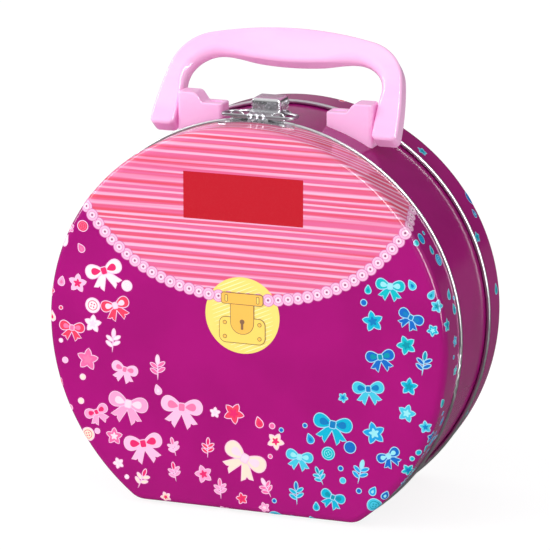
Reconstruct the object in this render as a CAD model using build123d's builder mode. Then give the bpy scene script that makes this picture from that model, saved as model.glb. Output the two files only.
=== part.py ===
from build123d import *
import os
from math import asin, atan2, cos, degrees, radians, sin, sqrt

os.makedirs("parts", exist_ok=True)

# A round carry tin on a flat bottom. Millimetres. +Z is up, -Y is the printed front,
# X runs across. The origin is on the table, under the middle of the tin.

# Outline of the tin, on the outermost line of its curled rims
crown_radius = 100.0
crown_height = 87.2
flank_shift = 7.45
corner_radius = 11.0

# Tinplate shells
body_depth = 90.0
sheet = 0.3
rim_wire = 2.0
wall_inset = 1.2
face_rounding = 3.5
rim_spacing = 46.0
curl_slit = 0.25

# Band between the two shells
band_gap = 0.3
band_lap = 6.0
band_joggle = 1.6
band_grip = 5.0
seam_width = 5.0

# Lid hinge at the bottom of the front rim
hinge_clearance = 0.08
hinge_pin_end_gap = 6.0
strap_spacing = 60.0
strap_width = 8.0
strap_length = 11.0
strap_joggle = 2.5
strap_notch_gap = 0.3
strap_rivet_pitch = 5.0
strap_rivet_margin = 3.0

# Rivets
rivet_shank = 0.9
rivet_head = 1.7
rivet_head_height = 0.8
rivet_tail_radius = 1.2
rivet_tail_height = 0.5

# Handle
handle_y = 1.5
foot_clearance = 0.99
handle_lean = 37.0
handle_top = 45.3
handle_top_radius = 177.0
handle_corner = 23.4
grip_underside = 27.6
belly_radius = 150.0
belly_half_width = 23.5
leg_drop = 9.4
leg_inner = 49.2
leg_outer = 61.7
leg_waist = 61.4
leg_waist_level = 0.0
handle_shoulder = 54.6
leg_inner_corner = 15.8
handle_thickness = 10.0
handle_edge = 1.8
handle_foot_corner = 3.0
boss_radius = 2.5
boss_length = 5.0
boss_clearance = 0.08
boss_end_gap = 0.4

# Handle brackets
bracket_inner = 25.9
bracket_depth = 11.0
ledge_rise = 5.5
ear_rise = 10.1
ear_width = 9.2
ear_slope = 3.4
ear_gap = 0.6
bracket_corner = 2.0
ear_shoulder = 3.2
bracket_edge = 0.8
ledge_recess_length = 7.0
ledge_recess_width = 4.0
ledge_recess_depth = 0.5
backing_sheet = 0.8
backing_margin = 2.0
screw_shank = 1.3
screw_head = 2.6
screw_head_height = 1.6
screw_reach = 3.6
screw_inset = 5.5
screw_slot_length = 3.0
screw_slot_width = 0.7

# Latch on the crown of the band
latch_base_width = 15.0
latch_base_front = -20.0
latch_base_back = 2.0
latch_base_sheet = 0.8
latch_rivet_margin = 2.4
latch_base_corner = 2.0
latch_ear_sheet = 0.8
latch_ear_spacing = 9.4
latch_ear_width = 3.6
lever_pin_radius = 0.8
lever_pin_y = -5.0
lever_pin_rise = 5.8
lever_pin_cap = 0.5
lever_pin_cap_radius = 1.3
latch_clearance = 0.05
lever_width = 14.4
lever_sheet = 0.7
lever_front = -15.0
lever_back = -3.4
lever_rise = 3.1
lever_skirt_drop = 3.1
lever_lip_reach = 2.0
lever_lip_drop = 0.6
lever_lobe_radius = 1.9
lever_rounding = 1.6
bail_wire = 1.5
bail_pivot_y = -7.5
bail_pivot_drop = 3.8
bail_bar_rise = 1.4
bail_reach = 19.5
bail_half_width = 17.5
bail_neck_half_width = 8.8
bail_neck_length = 5.0
bail_shoulder_reach = 10.5
bail_end_inset = 3.0
bail_bend = 2.6
bail_end_bend = 1.4

# Catch on the crown of the lid
catch_length = 38.0
catch_width = 6.6
catch_sheet = 0.6
catch_point = 5.0
catch_lip_length = 8.0
catch_lip_spacing = 18.0
catch_lip_gap = 0.2
catch_lip_reach = 1.7
catch_lip_rise = 3.5
catch_rivet_spacing = 27.0
catch_rivet_shift = 0.8
catch_rim_gap = 0.3

# Distance within which an edge or corner counts as lying on a level
level_tolerance = 0.01

# Sizes that follow from the ones above
wall_inner = wall_inset + sheet
curl_radius = rim_wire / 2
curl_bore = curl_radius - sheet
band_inset = rim_wire + band_gap
band_inner = band_inset + sheet
front_rim_y = -rim_spacing / 2
back_rim_y = rim_spacing / 2
band_front_y = front_rim_y - band_lap
band_outer_radius = crown_radius - band_inset
band_inner_radius = crown_radius - band_inner
hinge_pin_radius = curl_bore - hinge_clearance
tin_top = crown_height + crown_radius


def corner_centre():
    """Half distance between the centres of the two bottom corner arcs."""
    reach = crown_radius + flank_shift - corner_radius
    drop = crown_height - corner_radius
    return sqrt(reach**2 - drop**2) - flank_shift


def flank_angle():
    """Angle below level at which a flank arc meets its bottom corner."""
    drop = crown_height - corner_radius
    return degrees(atan2(drop, corner_centre() + flank_shift))


def draw_right_outline(inset):
    """Right half of the outline from the bottom to the crown, drawn in a plane of X and Z."""
    angle = flank_angle()
    Line((0, inset), (corner_centre(), inset))
    CenterArc((corner_centre(), corner_radius), corner_radius - inset, -90, 90 - angle)
    CenterArc((-flank_shift, crown_height), crown_radius + flank_shift - inset, -angle, angle)
    CenterArc((0, crown_height), crown_radius - inset, 0, 90)


def draw_outline(inset):
    """Whole outline, inset from the outermost line of the rims."""
    angle = flank_angle()
    draw_right_outline(inset)
    CenterArc((0, crown_height), crown_radius - inset, 90, 90)
    CenterArc((flank_shift, crown_height), crown_radius + flank_shift - inset, 180, angle)
    CenterArc((-corner_centre(), corner_radius), corner_radius - inset, 180 + angle, 90 - angle)
    Line((-corner_centre(), inset), (0, inset))


def section_plane(y):
    """Plane across the outline at the middle of the bottom, for profiles of Y and Z."""
    return Plane(origin=(0, y, 0), x_dir=(0, 1, 0), z_dir=(1, 0, 0))


def crown_plane(angle, radius, y):
    """Plane square to the crown at an angle from the top, its normal pointing outwards."""
    tilt = radians(angle)
    return Plane(
        origin=(radius * sin(tilt), y, crown_height + radius * cos(tilt)),
        x_dir=(0, 1, 0),
        z_dir=(sin(tilt), 0, cos(tilt)),
    )


def crown_level(radius, x):
    """Height of a crown surface of this radius at X."""
    return crown_height + sqrt(radius**2 - x**2)


def chord_level(radius, half_width):
    """Distance from the crown's centre at which a flat disc meets a hollow surface at its rim."""
    return sqrt(radius**2 - half_width**2)


def angle_at(x, radius):
    """Angle from the top at which a crown surface of this radius reaches X."""
    return degrees(atan2(x, sqrt(radius**2 - x**2)))


def save(builder, name):
    """Names one finished piece and writes it."""
    builder.part.label = name
    export_step(builder.part, f"parts/{name}.step")


hinge_pin_length = 2 * (corner_centre() - hinge_pin_end_gap)
strap_centres = [-strap_spacing / 2, strap_spacing / 2]
strap_rivet_first = (
    front_rim_y + strap_joggle + strap_length - strap_rivet_pitch - strap_rivet_margin
)
strap_rivet_rows = [strap_rivet_first, strap_rivet_first + strap_rivet_pitch]
bracket_outer = leg_inner - ear_gap
screw_places = [bracket_inner + screw_inset, bracket_outer - screw_inset]
foot_swing = handle_edge + sqrt(
    (handle_thickness / 2 - handle_edge) ** 2 + (leg_drop - handle_edge) ** 2
)
pivot_height = crown_level(band_outer_radius, leg_inner) + foot_swing + foot_clearance
handle_plane = Plane(
    origin=(0, handle_y, pivot_height),
    x_dir=(1, 0, 0),
    z_dir=(0, -cos(radians(handle_lean)), sin(radians(handle_lean))),
)
ledge_height = pivot_height + ledge_rise
ear_height = pivot_height + ear_rise
latch_base_height = crown_height + band_outer_radius + latch_base_sheet
lever_pin_height = latch_base_height + lever_pin_rise
lever_top = lever_pin_height + lever_rise
lever_skirt = lever_pin_height - lever_skirt_drop
bail_pivot_height = lever_pin_height - bail_pivot_drop
bail_bar_height = tin_top + bail_bar_rise
latch_rivet_rows = [latch_base_front + latch_rivet_margin, latch_base_back - latch_rivet_margin]
catch_y = front_rim_y - curl_radius - catch_rim_gap - catch_width / 2
catch_outer_radius = crown_radius - wall_inset + catch_sheet
catch_rivet_places = [-catch_rivet_spacing / 2, catch_rivet_spacing / 2]
catch_rivet_y = catch_y - catch_rivet_shift


def pressed_shell(side):
    """One drawn tin pan with a hollow curl round its mouth. Side is -1 at the front, 1 at the back."""
    mouth_y = side * rim_spacing / 2
    outer_y = side * body_depth / 2
    wall_length = body_depth / 2 - rim_spacing / 2 - sqrt(curl_bore * curl_radius)
    with BuildPart() as hollow:
        with BuildSketch(Plane.XZ.offset(sheet * side - outer_y)):
            with BuildLine():
                draw_outline(wall_inner)
            make_face()
        extrude(amount=side * wall_length)
        end_face = hollow.faces().sort_by(Axis.Y)[0 if side < 0 else -1]
        fillet(end_face.edges(), radius=face_rounding - sheet)
    with BuildPart() as shell:
        with BuildSketch(Plane.XZ.offset(-outer_y)):
            with BuildLine():
                draw_outline(wall_inset)
            make_face()
        extrude(amount=side * wall_length)
        end_face = shell.faces().sort_by(Axis.Y)[0 if side < 0 else -1]
        fillet(end_face.edges(), radius=face_rounding)
        add(hollow.part, mode=Mode.SUBTRACT)
    with BuildPart() as curl:
        with BuildLine(Plane.XZ.offset(-mouth_y)) as curl_path:
            draw_right_outline(curl_radius)
        with BuildSketch(section_plane(mouth_y)):
            with Locations((0, curl_radius)):
                Circle(curl_radius)
                Circle(curl_bore, mode=Mode.SUBTRACT)
            with Locations((0, rim_wire - sheet / 2)):
                Rectangle(curl_slit, rim_wire / 2, mode=Mode.SUBTRACT)
        sweep(path=curl_path.line)
        mirror(about=Plane.YZ)
    return shell, curl


# Front lid: a pressed pan, its curl notched where the hinge straps reach the pin
lid_pan, lid_curl = pressed_shell(-1)
with BuildPart() as front_lid:
    add(lid_pan.part)
    add(lid_curl.part)
    for x in strap_centres:
        with Locations((x, front_rim_y, curl_radius)):
            Box(strap_width + 2 * strap_notch_gap, rim_wire + 2 * strap_notch_gap, rim_wire + sheet,
                mode=Mode.SUBTRACT)
    for x in catch_rivet_places:
        with BuildSketch(crown_plane(angle_at(x, crown_radius), crown_radius, catch_rivet_y)):
            Circle(rivet_shank)
        extrude(amount=-rim_wire, mode=Mode.SUBTRACT)
save(front_lid, "front_lid")

# Back shell: the same pan, closed round its whole mouth
back_pan, back_curl = pressed_shell(1)
with BuildPart() as back_shell:
    add(back_pan.part)
    add(back_curl.part)
save(back_shell, "back_shell")

# Body band: one strip bent to the outline, stepped out at the back to grip inside the back shell,
# with its ends lapped inside the bottom
with BuildPart() as body_band:
    with BuildLine(Plane.XZ.offset(0)) as band_path:
        draw_right_outline(band_inset)
    step_start = back_rim_y + curl_radius
    step_end = step_start + band_joggle
    band_end = step_end + band_grip
    with BuildSketch(section_plane(0)):
        with BuildLine():
            Polyline(
                (band_front_y, band_inset),
                (step_start, band_inset),
                (step_end, wall_inner),
                (band_end, wall_inner),
                (band_end, wall_inner + sheet),
                (step_end, wall_inner + sheet),
                (step_start, band_inner),
                (band_front_y, band_inner),
                close=True,
            )
        make_face()
    sweep(path=band_path.line)
    mirror(about=Plane.YZ)
    with Locations((0, (band_front_y + step_start) / 2, band_inner + sheet / 2)):
        Box(seam_width, step_start - band_front_y, sheet)
    for side in (-1, 1):
        for x in screw_places:
            hole_plane = crown_plane(side * angle_at(x, band_outer_radius), crown_radius, handle_y)
            with BuildSketch(hole_plane):
                Circle(screw_shank)
            extrude(amount=-2 * rim_wire, mode=Mode.SUBTRACT)
    for y in latch_rivet_rows:
        with BuildSketch(crown_plane(0, crown_radius, y)):
            Circle(rivet_shank)
        extrude(amount=-2 * rim_wire, mode=Mode.SUBTRACT)
    with BuildSketch(Plane.XY):
        for x in strap_centres:
            for y in strap_rivet_rows:
                with Locations((x, y)):
                    Circle(rivet_shank)
    extrude(amount=2 * rim_wire, mode=Mode.SUBTRACT)
save(body_band, "body_band")

# Hinge pin: a straight wire through the lid's bottom curl
with BuildPart() as hinge_pin:
    with BuildSketch(Plane.YZ.offset(-hinge_pin_length / 2)):
        with Locations((front_rim_y, curl_radius)):
            Circle(hinge_pin_radius)
    extrude(amount=hinge_pin_length)
save(hinge_pin, "hinge_pin")

# Hinge straps: a loop round the pin, a step up to the band and a flat riveted under it
strap_loop_radius = hinge_pin_radius + sheet
strap_loop_top = curl_radius + strap_loop_radius
strap_flat_start = front_rim_y + strap_joggle
for side, x in zip(("left", "right"), strap_centres):
    with BuildPart() as hinge_strap:
        with BuildSketch(Plane.YZ.offset(x - strap_width / 2)):
            with Locations((front_rim_y, curl_radius)):
                Circle(strap_loop_radius)
            with BuildLine():
                Polyline(
                    (front_rim_y, strap_loop_top),
                    (strap_flat_start, band_inset),
                    (strap_flat_start + strap_length, band_inset),
                    (strap_flat_start + strap_length, band_inset - sheet),
                    (strap_flat_start, band_inset - sheet),
                    (front_rim_y, strap_loop_top - sheet),
                    close=True,
                )
            make_face()
            with Locations((front_rim_y, curl_radius)):
                Circle(hinge_pin_radius, mode=Mode.SUBTRACT)
        extrude(amount=strap_width)
        with BuildSketch(Plane.XY):
            for y in strap_rivet_rows:
                with Locations((x, y)):
                    Circle(rivet_shank)
        extrude(amount=2 * rim_wire, mode=Mode.SUBTRACT)
    save(hinge_strap, f"hinge_strap_{side}")


def draw_rivet(grip):
    """Half section of a domed rivet, its head seat at zero and its tail below the grip."""
    tail = -grip - rivet_tail_height
    dome_radius = (rivet_head**2 + rivet_head_height**2) / (2 * rivet_head_height)
    dome_centre = rivet_head_height - dome_radius
    dome_angle = degrees(asin(-dome_centre / dome_radius))
    Line((0, rivet_head_height), (0, tail))
    Polyline((0, tail), (rivet_tail_radius, tail), (rivet_tail_radius, -grip), (rivet_shank, -grip),
             (rivet_shank, 0), (rivet_head, 0))
    CenterArc((0, dome_centre), dome_radius, dome_angle, 90 - dome_angle)


def section_across(seat):
    """Plane through a rivet's axis, its Y axis along the seat's normal."""
    return Plane(origin=seat.origin, x_dir=seat.x_dir, z_dir=seat.x_dir.cross(seat.z_dir))


def add_rivets(seats, grip):
    """Adds rivets to the part being built, each with its head on a seat plane."""
    for seat in seats:
        with BuildSketch(section_across(seat)) as rivet_section:
            with BuildLine():
                draw_rivet(grip)
            make_face()
        revolve(rivet_section.sketch, axis=Axis(seat.origin, seat.z_dir))


# Rivets of both hinge straps, heads under the tin
with BuildPart() as hinge_strap_rivets:
    add_rivets(
        [
            Plane(origin=(x, y, band_inset - sheet), x_dir=(1, 0, 0), z_dir=(0, 0, -1))
            for x in strap_centres
            for y in strap_rivet_rows
        ],
        2 * sheet,
    )
save(hinge_strap_rivets, "hinge_strap_rivets")

# Handle: a flat moulded grip with a belly under it, on two legs with snap-in bosses
belly_angle = degrees(asin(belly_half_width / belly_radius))
inner_flat = leg_inner - leg_inner_corner
hollow_radius = inner_flat / sin(radians(belly_angle)) - belly_radius
hollow_top = grip_underside + (belly_radius + hollow_radius) * (1 - cos(radians(belly_angle)))
shoulder_level = handle_top - handle_top_radius + sqrt(handle_top_radius**2 - handle_shoulder**2)
shoulder_angle = degrees(asin(handle_shoulder / handle_top_radius))
with BuildPart() as handle:
    with BuildSketch(handle_plane):
        with BuildLine():
            CenterArc((0, handle_top - handle_top_radius), handle_top_radius, 90 - shoulder_angle,
                      2 * shoulder_angle)
            CenterArc((0, grip_underside + belly_radius), belly_radius, -90 - belly_angle,
                      2 * belly_angle)
            for side in (-1, 1):
                ThreePointArc(
                    (side * handle_shoulder, shoulder_level),
                    (side * leg_waist, leg_waist_level),
                    (side * leg_outer, -leg_drop),
                )
                Line((side * leg_outer, -leg_drop), (side * leg_inner, -leg_drop))
                Line((side * leg_inner, -leg_drop), (side * leg_inner, hollow_top - leg_inner_corner))
                CenterArc((side * inner_flat, hollow_top - leg_inner_corner), leg_inner_corner,
                          0 if side > 0 else 180, side * 90)
                CenterArc((side * inner_flat, hollow_top - hollow_radius), hollow_radius,
                          90, side * belly_angle)
        handle_face = make_face()
        top_corners = handle_face.vertices().filter_by(
            lambda v: abs(abs(v.X) - handle_shoulder) < level_tolerance
        )
        fillet(top_corners, radius=handle_corner)
        foot_corners = handle_face.vertices().filter_by(
            lambda v: abs(v.Y + leg_drop) < level_tolerance
        )
        fillet(foot_corners, radius=handle_foot_corner)
    extrude(amount=handle_thickness / 2, both=True)
    for side in (-1, 1):
        with BuildSketch(Plane.YZ.offset(side * leg_inner)):
            with Locations((handle_y, pivot_height)):
                Circle(boss_radius)
        extrude(amount=-side * boss_length)
    face_level = handle_thickness / 2 - level_tolerance
    rim_edges = handle.edges().filter_by(
        lambda e: abs(handle_plane.to_local_coords(e).center().Z) > face_level
    )
    fillet(rim_edges, radius=handle_edge)
save(handle, "handle")

# Handle brackets: moulded feet that sit on the crown, each with an ear for the handle's boss
ear_start = bracket_outer - ear_width
slope_start = ear_start - ear_slope
bracket_foot = crown_level(band_outer_radius, bracket_outer) - bracket_edge
recess_x = (bracket_inner + slope_start) / 2
boss_hole_depth = boss_length - ear_gap + boss_end_gap
for side, name in ((-1, "left"), (1, "right")):
    with BuildPart() as bracket:
        with BuildSketch(Plane.XZ.offset(-handle_y)):
            with BuildLine():
                Polyline(
                    (side * bracket_inner, bracket_foot),
                    (side * bracket_inner, ledge_height),
                    (side * slope_start, ledge_height),
                    (side * ear_start, ear_height),
                    (side * bracket_outer, ear_height),
                    (side * bracket_outer, bracket_foot),
                    close=True,
                )
            bracket_face = make_face()
            shoulder_corners = bracket_face.vertices().filter_by(
                lambda v: abs(abs(v.X) - ear_start) < level_tolerance
            )
            fillet(shoulder_corners, radius=ear_shoulder)
        extrude(amount=bracket_depth / 2, both=True)
        end_edges = bracket.edges().filter_by(Axis.Z)
        fillet(end_edges, radius=bracket_corner)
        top_edges = bracket.edges().filter_by(
            lambda e: e.center().Z > ledge_height - level_tolerance
            and (
                abs(e.tangent_at(0.5).Y) < 1 - level_tolerance
                or abs(e.center().X) < slope_start + level_tolerance
                or abs(e.center().X) > bracket_outer - level_tolerance
            )
        )
        fillet(top_edges, radius=bracket_edge)
        with BuildSketch(Plane.XZ.offset(-handle_y)):
            with Locations((0, crown_height)):
                Circle(band_outer_radius)
        extrude(amount=bracket_depth, both=True, mode=Mode.SUBTRACT)
        with BuildSketch(Plane.XY.offset(ledge_height)):
            with Locations((side * recess_x, handle_y)):
                SlotOverall(ledge_recess_length, ledge_recess_width)
        extrude(amount=-ledge_recess_depth, mode=Mode.SUBTRACT)
        with BuildSketch(Plane.YZ.offset(side * bracket_outer)):
            with Locations((handle_y, pivot_height)):
                Circle(boss_radius + boss_clearance)
        extrude(amount=-side * boss_hole_depth, mode=Mode.SUBTRACT)
        for x in screw_places:
            seat = crown_plane(side * angle_at(x, band_outer_radius), band_inner_radius, handle_y)
            with BuildSketch(seat):
                Circle(screw_shank)
            extrude(amount=sheet + screw_reach, mode=Mode.SUBTRACT)
    save(bracket, f"bracket_{name}")

# Backing plates inside the band, under the brackets
backing_radius = band_inner_radius - backing_sheet
backing_start = angle_at(bracket_inner + backing_margin, band_inner_radius)
backing_end = angle_at(bracket_outer - backing_margin, band_inner_radius)
for side, name in ((-1, "left"), (1, "right")):
    with BuildPart() as backing_plate:
        with BuildSketch(Plane.XZ.offset(-handle_y)):
            with BuildLine():
                first = crown_plane(side * backing_start, 0, 0).z_dir
                last = crown_plane(side * backing_end, 0, 0).z_dir
                middle = crown_plane(side * (backing_start + backing_end) / 2, 0, 0).z_dir
                corners = [
                    [(d.X * r, crown_height + d.Z * r) for d in (first, middle, last)]
                    for r in (band_inner_radius, backing_radius)
                ]
                ThreePointArc(*corners[0])
                ThreePointArc(*corners[1])
                Line(corners[0][0], corners[1][0])
                Line(corners[0][2], corners[1][2])
            make_face()
        extrude(amount=bracket_depth / 2, both=True)
        for x in screw_places:
            seat = crown_plane(side * angle_at(x, band_outer_radius), band_outer_radius, handle_y)
            with BuildSketch(seat):
                Circle(screw_shank)
            extrude(amount=-2 * rim_wire, mode=Mode.SUBTRACT)
    save(backing_plate, f"backing_plate_{name}")


def draw_screw(reach):
    """Half section of a pan-head screw, its head seat at zero and its point at the reach."""
    Line((0, -screw_head_height), (0, reach))
    Polyline((0, reach), (screw_shank, reach), (screw_shank, 0), (screw_head, 0),
             (screw_head, -screw_head_height / 2), (screw_head - screw_head_height / 2,
             -screw_head_height), (0, -screw_head_height))


# Bracket screws, driven from inside through backing plate and band
screw_seat_radius = chord_level(backing_radius, screw_head)
screw_grip = band_outer_radius + screw_reach - screw_seat_radius
for side, name in ((-1, "left"), (1, "right")):
    with BuildPart() as bracket_screws:
        for x in screw_places:
            seat = crown_plane(side * angle_at(x, band_outer_radius), screw_seat_radius, handle_y)
            with BuildSketch(section_across(seat)) as screw_section:
                with BuildLine():
                    draw_screw(screw_grip)
                make_face()
            revolve(screw_section.sketch, axis=Axis(seat.origin, seat.z_dir))
            with BuildSketch(seat.offset(-screw_head_height)) as slot:
                Rectangle(screw_slot_length, screw_slot_width)
                Rectangle(screw_slot_width, screw_slot_length)
            extrude(slot.sketch, amount=screw_head_height / 2, mode=Mode.SUBTRACT)
    save(bracket_screws, f"bracket_screws_{name}")

# Latch base: a plate on the crown of the band with two ears for the lever pin
plate_middle = (latch_base_front + latch_base_back) / 2
plate_length = latch_base_back - latch_base_front
with BuildPart() as latch_base:
    with BuildSketch(Plane.XY.offset(latch_base_height)):
        with Locations((0, plate_middle)):
            RectangleRounded(latch_base_width, plate_length, latch_base_corner)
    extrude(amount=-rim_wire)
    with BuildSketch(Plane.YZ.offset(-latch_ear_spacing / 2)):
        with Locations((lever_pin_y, (latch_base_height + lever_pin_height - sheet) / 2)):
            Rectangle(latch_ear_width, lever_pin_height - latch_base_height + sheet)
        with Locations((lever_pin_y, lever_pin_height)):
            Circle(latch_ear_width / 2)
            Circle(lever_pin_radius, mode=Mode.SUBTRACT)
    extrude(amount=latch_ear_sheet / 2, both=True)
    mirror(about=Plane.YZ)
    with BuildSketch(Plane.XZ.offset(-plate_middle)):
        with Locations((0, crown_height)):
            Circle(band_outer_radius)
    extrude(amount=plate_length, both=True, mode=Mode.SUBTRACT)
    with BuildSketch(Plane.XY.offset(latch_base_height)):
        for y in latch_rivet_rows:
            with Locations((0, y)):
                Circle(rivet_shank)
    extrude(amount=-rim_wire, mode=Mode.SUBTRACT)
save(latch_base, "latch_base")

# Latch base rivets
with BuildPart() as latch_base_rivets:
    add_rivets(
        [
            Plane(origin=(0, y, latch_base_height), x_dir=(1, 0, 0), z_dir=(0, 0, 1))
            for y in latch_rivet_rows
        ],
        latch_base_height - crown_height - chord_level(band_inner_radius, rivet_tail_radius),
    )
save(latch_base_rivets, "latch_base_rivets")

# Latch lever: a box-shaped cap, open below and behind, with a thumb lip and two lobes for the bail
with BuildPart() as latch_lever:
    with BuildSketch(Plane.XY.offset(lever_skirt)):
        with Locations((0, (lever_front + lever_back) / 2)):
            Rectangle(lever_width, lever_back - lever_front)
    extrude(amount=lever_top - lever_skirt)
    cap_edges = latch_lever.edges().filter_by(
        lambda e: e.center().Z > lever_skirt + level_tolerance
        and e.center().Y < lever_back - level_tolerance
    )
    fillet(cap_edges, radius=lever_rounding)
    lobe_top = lever_skirt + lever_lobe_radius
    for x in (-lever_width / 2, lever_width / 2):
        with BuildSketch(Plane.YZ.offset(x)):
            with Locations((bail_pivot_y, bail_pivot_height)):
                Circle(lever_lobe_radius)
            with Locations((bail_pivot_y, (bail_pivot_height + lobe_top) / 2)):
                Rectangle(2 * lever_lobe_radius, lobe_top - bail_pivot_height)
        extrude(amount=lever_sheet if x < 0 else -lever_sheet)
    with BuildSketch(Plane.YZ.offset(-lever_width / 2)):
        with BuildLine():
            Polyline(
                (lever_front, lever_skirt + lever_sheet),
                (lever_front + lever_sheet, lever_skirt + lever_sheet),
                (lever_front + lever_sheet, lever_skirt),
                (lever_front - lever_lip_reach, lever_skirt - lever_lip_drop),
                (lever_front - lever_lip_reach, lever_skirt - lever_lip_drop + lever_sheet),
                close=True,
            )
        make_face()
    extrude(amount=lever_width)
    with BuildSketch(Plane.XY.offset(lever_skirt - sheet)):
        with Locations((0, (lever_front + lever_back) / 2 + lever_sheet)):
            Rectangle(lever_width - 2 * lever_sheet, lever_back - lever_front)
    extrude(amount=lever_top - lever_skirt + sheet - lever_sheet, mode=Mode.SUBTRACT)
    with BuildSketch(Plane.YZ.offset(-lever_width)):
        with Locations((lever_pin_y, lever_pin_height)):
            Circle(lever_pin_radius + latch_clearance)
        with Locations((bail_pivot_y, bail_pivot_height)):
            Circle(bail_wire / 2 + latch_clearance)
    extrude(amount=2 * lever_width, mode=Mode.SUBTRACT)
save(latch_lever, "latch_lever")

# Lever pin, riveted over outside the lever
pin_reach = lever_width / 2 + latch_clearance
with BuildPart() as lever_pin:
    with BuildSketch(Plane.YZ.offset(-pin_reach)):
        with Locations((lever_pin_y, lever_pin_height)):
            Circle(lever_pin_radius)
    extrude(amount=2 * pin_reach)
    for side in (-1, 1):
        with BuildSketch(Plane.YZ.offset(side * pin_reach)):
            with Locations((lever_pin_y, lever_pin_height)):
                Circle(lever_pin_cap_radius)
        extrude(amount=side * lever_pin_cap)
save(lever_pin, "lever_pin")

# Latch bail: one bent wire from the lever's lobes round to the bar over the lid's catch
bail_rise = atan2(bail_bar_height - bail_pivot_height, bail_reach)
bail_plane = Plane(
    origin=(0, bail_pivot_y, bail_pivot_height),
    x_dir=(1, 0, 0),
    z_dir=(0, -sin(bail_rise), -cos(bail_rise)),
)
bail_end = bail_neck_half_width - bail_end_inset
with BuildPart() as latch_bail:
    with BuildLine(bail_plane) as bail_path:
        FilletPolyline(
            (bail_end, 0),
            (bail_neck_half_width, 0),
            (bail_neck_half_width, bail_neck_length),
            (bail_half_width, bail_shoulder_reach),
            (bail_half_width, bail_reach),
            (-bail_half_width, bail_reach),
            (-bail_half_width, bail_shoulder_reach),
            (-bail_neck_half_width, bail_neck_length),
            (-bail_neck_half_width, 0),
            (-bail_end, 0),
            radius=[bail_end_bend, bail_bend, bail_bend, bail_bend, bail_bend, bail_bend, bail_bend,
                    bail_end_bend],
        )
    with BuildSketch(Plane(origin=(bail_end, bail_pivot_y, bail_pivot_height), z_dir=(1, 0, 0))):
        Circle(bail_wire / 2)
    sweep(path=bail_path.line)
save(latch_bail, "latch_bail")

# Lid catch: a plate with pointed ends on the lid's crown, with two curled lips under the bail's bar
catch_plate_radius = crown_radius - wall_inset
lip_top = bail_bar_height - bail_wire / 2 - catch_lip_gap
catch_back_y = catch_y + catch_width / 2
with BuildPart() as lid_catch:
    with BuildSketch(Plane.XY.offset(crown_height)):
        with BuildLine():
            Polyline(
                (catch_length / 2, catch_y),
                (catch_length / 2 - catch_point, catch_y + catch_width / 2),
                (-catch_length / 2 + catch_point, catch_y + catch_width / 2),
                (-catch_length / 2, catch_y),
                (-catch_length / 2 + catch_point, catch_y - catch_width / 2),
                (catch_length / 2 - catch_point, catch_y - catch_width / 2),
                close=True,
            )
        make_face()
    extrude(amount=crown_radius)
    with BuildSketch(Plane.XZ.offset(-catch_y)):
        with Locations((0, crown_height)):
            Circle(catch_outer_radius)
    extrude(amount=catch_width, both=True, mode=Mode.INTERSECT)
    for x in (-catch_lip_spacing / 2, catch_lip_spacing / 2):
        with BuildSketch(Plane.YZ.offset(x - catch_lip_length / 2)):
            with BuildLine():
                Polyline(
                    (catch_back_y, lip_top - catch_lip_rise),
                    (catch_back_y, lip_top - catch_sheet),
                    (catch_back_y - catch_lip_reach, lip_top),
                    (catch_back_y - catch_lip_reach, lip_top - catch_sheet),
                    (catch_back_y - catch_sheet, lip_top - 2 * catch_sheet),
                    (catch_back_y - catch_sheet, lip_top - catch_lip_rise),
                    close=True,
                )
            make_face()
        extrude(amount=catch_lip_length)
    with BuildSketch(Plane.XZ.offset(-catch_y)):
        with Locations((0, crown_height)):
            Circle(catch_plate_radius)
    extrude(amount=catch_width, both=True, mode=Mode.SUBTRACT)
    for x in catch_rivet_places:
        with BuildSketch(crown_plane(angle_at(x, crown_radius), crown_radius, catch_rivet_y)):
            Circle(rivet_shank)
        extrude(amount=-rim_wire, mode=Mode.SUBTRACT)
save(lid_catch, "lid_catch")

# Lid catch rivets
with BuildPart() as lid_catch_rivets:
    add_rivets(
        [
            crown_plane(angle_at(x, crown_radius), catch_outer_radius, catch_rivet_y)
            for x in catch_rivet_places
        ],
        catch_outer_radius - chord_level(crown_radius - wall_inner, rivet_tail_radius),
    )
save(lid_catch_rivets, "lid_catch_rivets")
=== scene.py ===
"""Dresses a round felt tip pen tin: printed tinplate shells, a moulded handle and a lift latch.

Sizes are in millimetres and are turned into metres where a mesh gets its places. The tin stands
on Z = 0 with its printed front towards -Y. Printed figures are drawn round their own middle.
"""

import logging
import math
import random
from dataclasses import dataclass
from enum import Enum

import bmesh
import bpy
import numpy as np
from mathutils import Matrix, Vector


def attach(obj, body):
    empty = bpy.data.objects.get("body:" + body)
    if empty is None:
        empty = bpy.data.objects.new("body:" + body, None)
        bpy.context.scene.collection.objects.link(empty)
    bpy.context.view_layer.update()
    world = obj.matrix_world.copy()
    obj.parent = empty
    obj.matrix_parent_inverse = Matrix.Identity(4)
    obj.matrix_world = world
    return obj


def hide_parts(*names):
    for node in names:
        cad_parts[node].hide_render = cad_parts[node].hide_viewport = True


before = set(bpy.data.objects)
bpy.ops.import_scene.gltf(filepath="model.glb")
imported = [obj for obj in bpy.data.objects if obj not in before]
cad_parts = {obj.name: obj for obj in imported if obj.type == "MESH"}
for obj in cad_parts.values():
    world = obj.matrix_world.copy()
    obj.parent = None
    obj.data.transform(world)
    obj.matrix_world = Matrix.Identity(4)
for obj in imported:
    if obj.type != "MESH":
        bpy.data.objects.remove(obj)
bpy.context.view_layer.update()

log = logging.getLogger("pen_tin")

MM = 0.001
WELD = 0.000002
BAKE_MAP = "OFBake"
SHEET_PLACE = "sheet_place"
INK = "ink"
RING = "ring"
STATION = "station"
SIDES = (-1, 1)

Colour = tuple[float, float, float, float]
Place = tuple[float, float]
Pair = tuple[float, float]
Triple = tuple[float, float, float]


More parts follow.
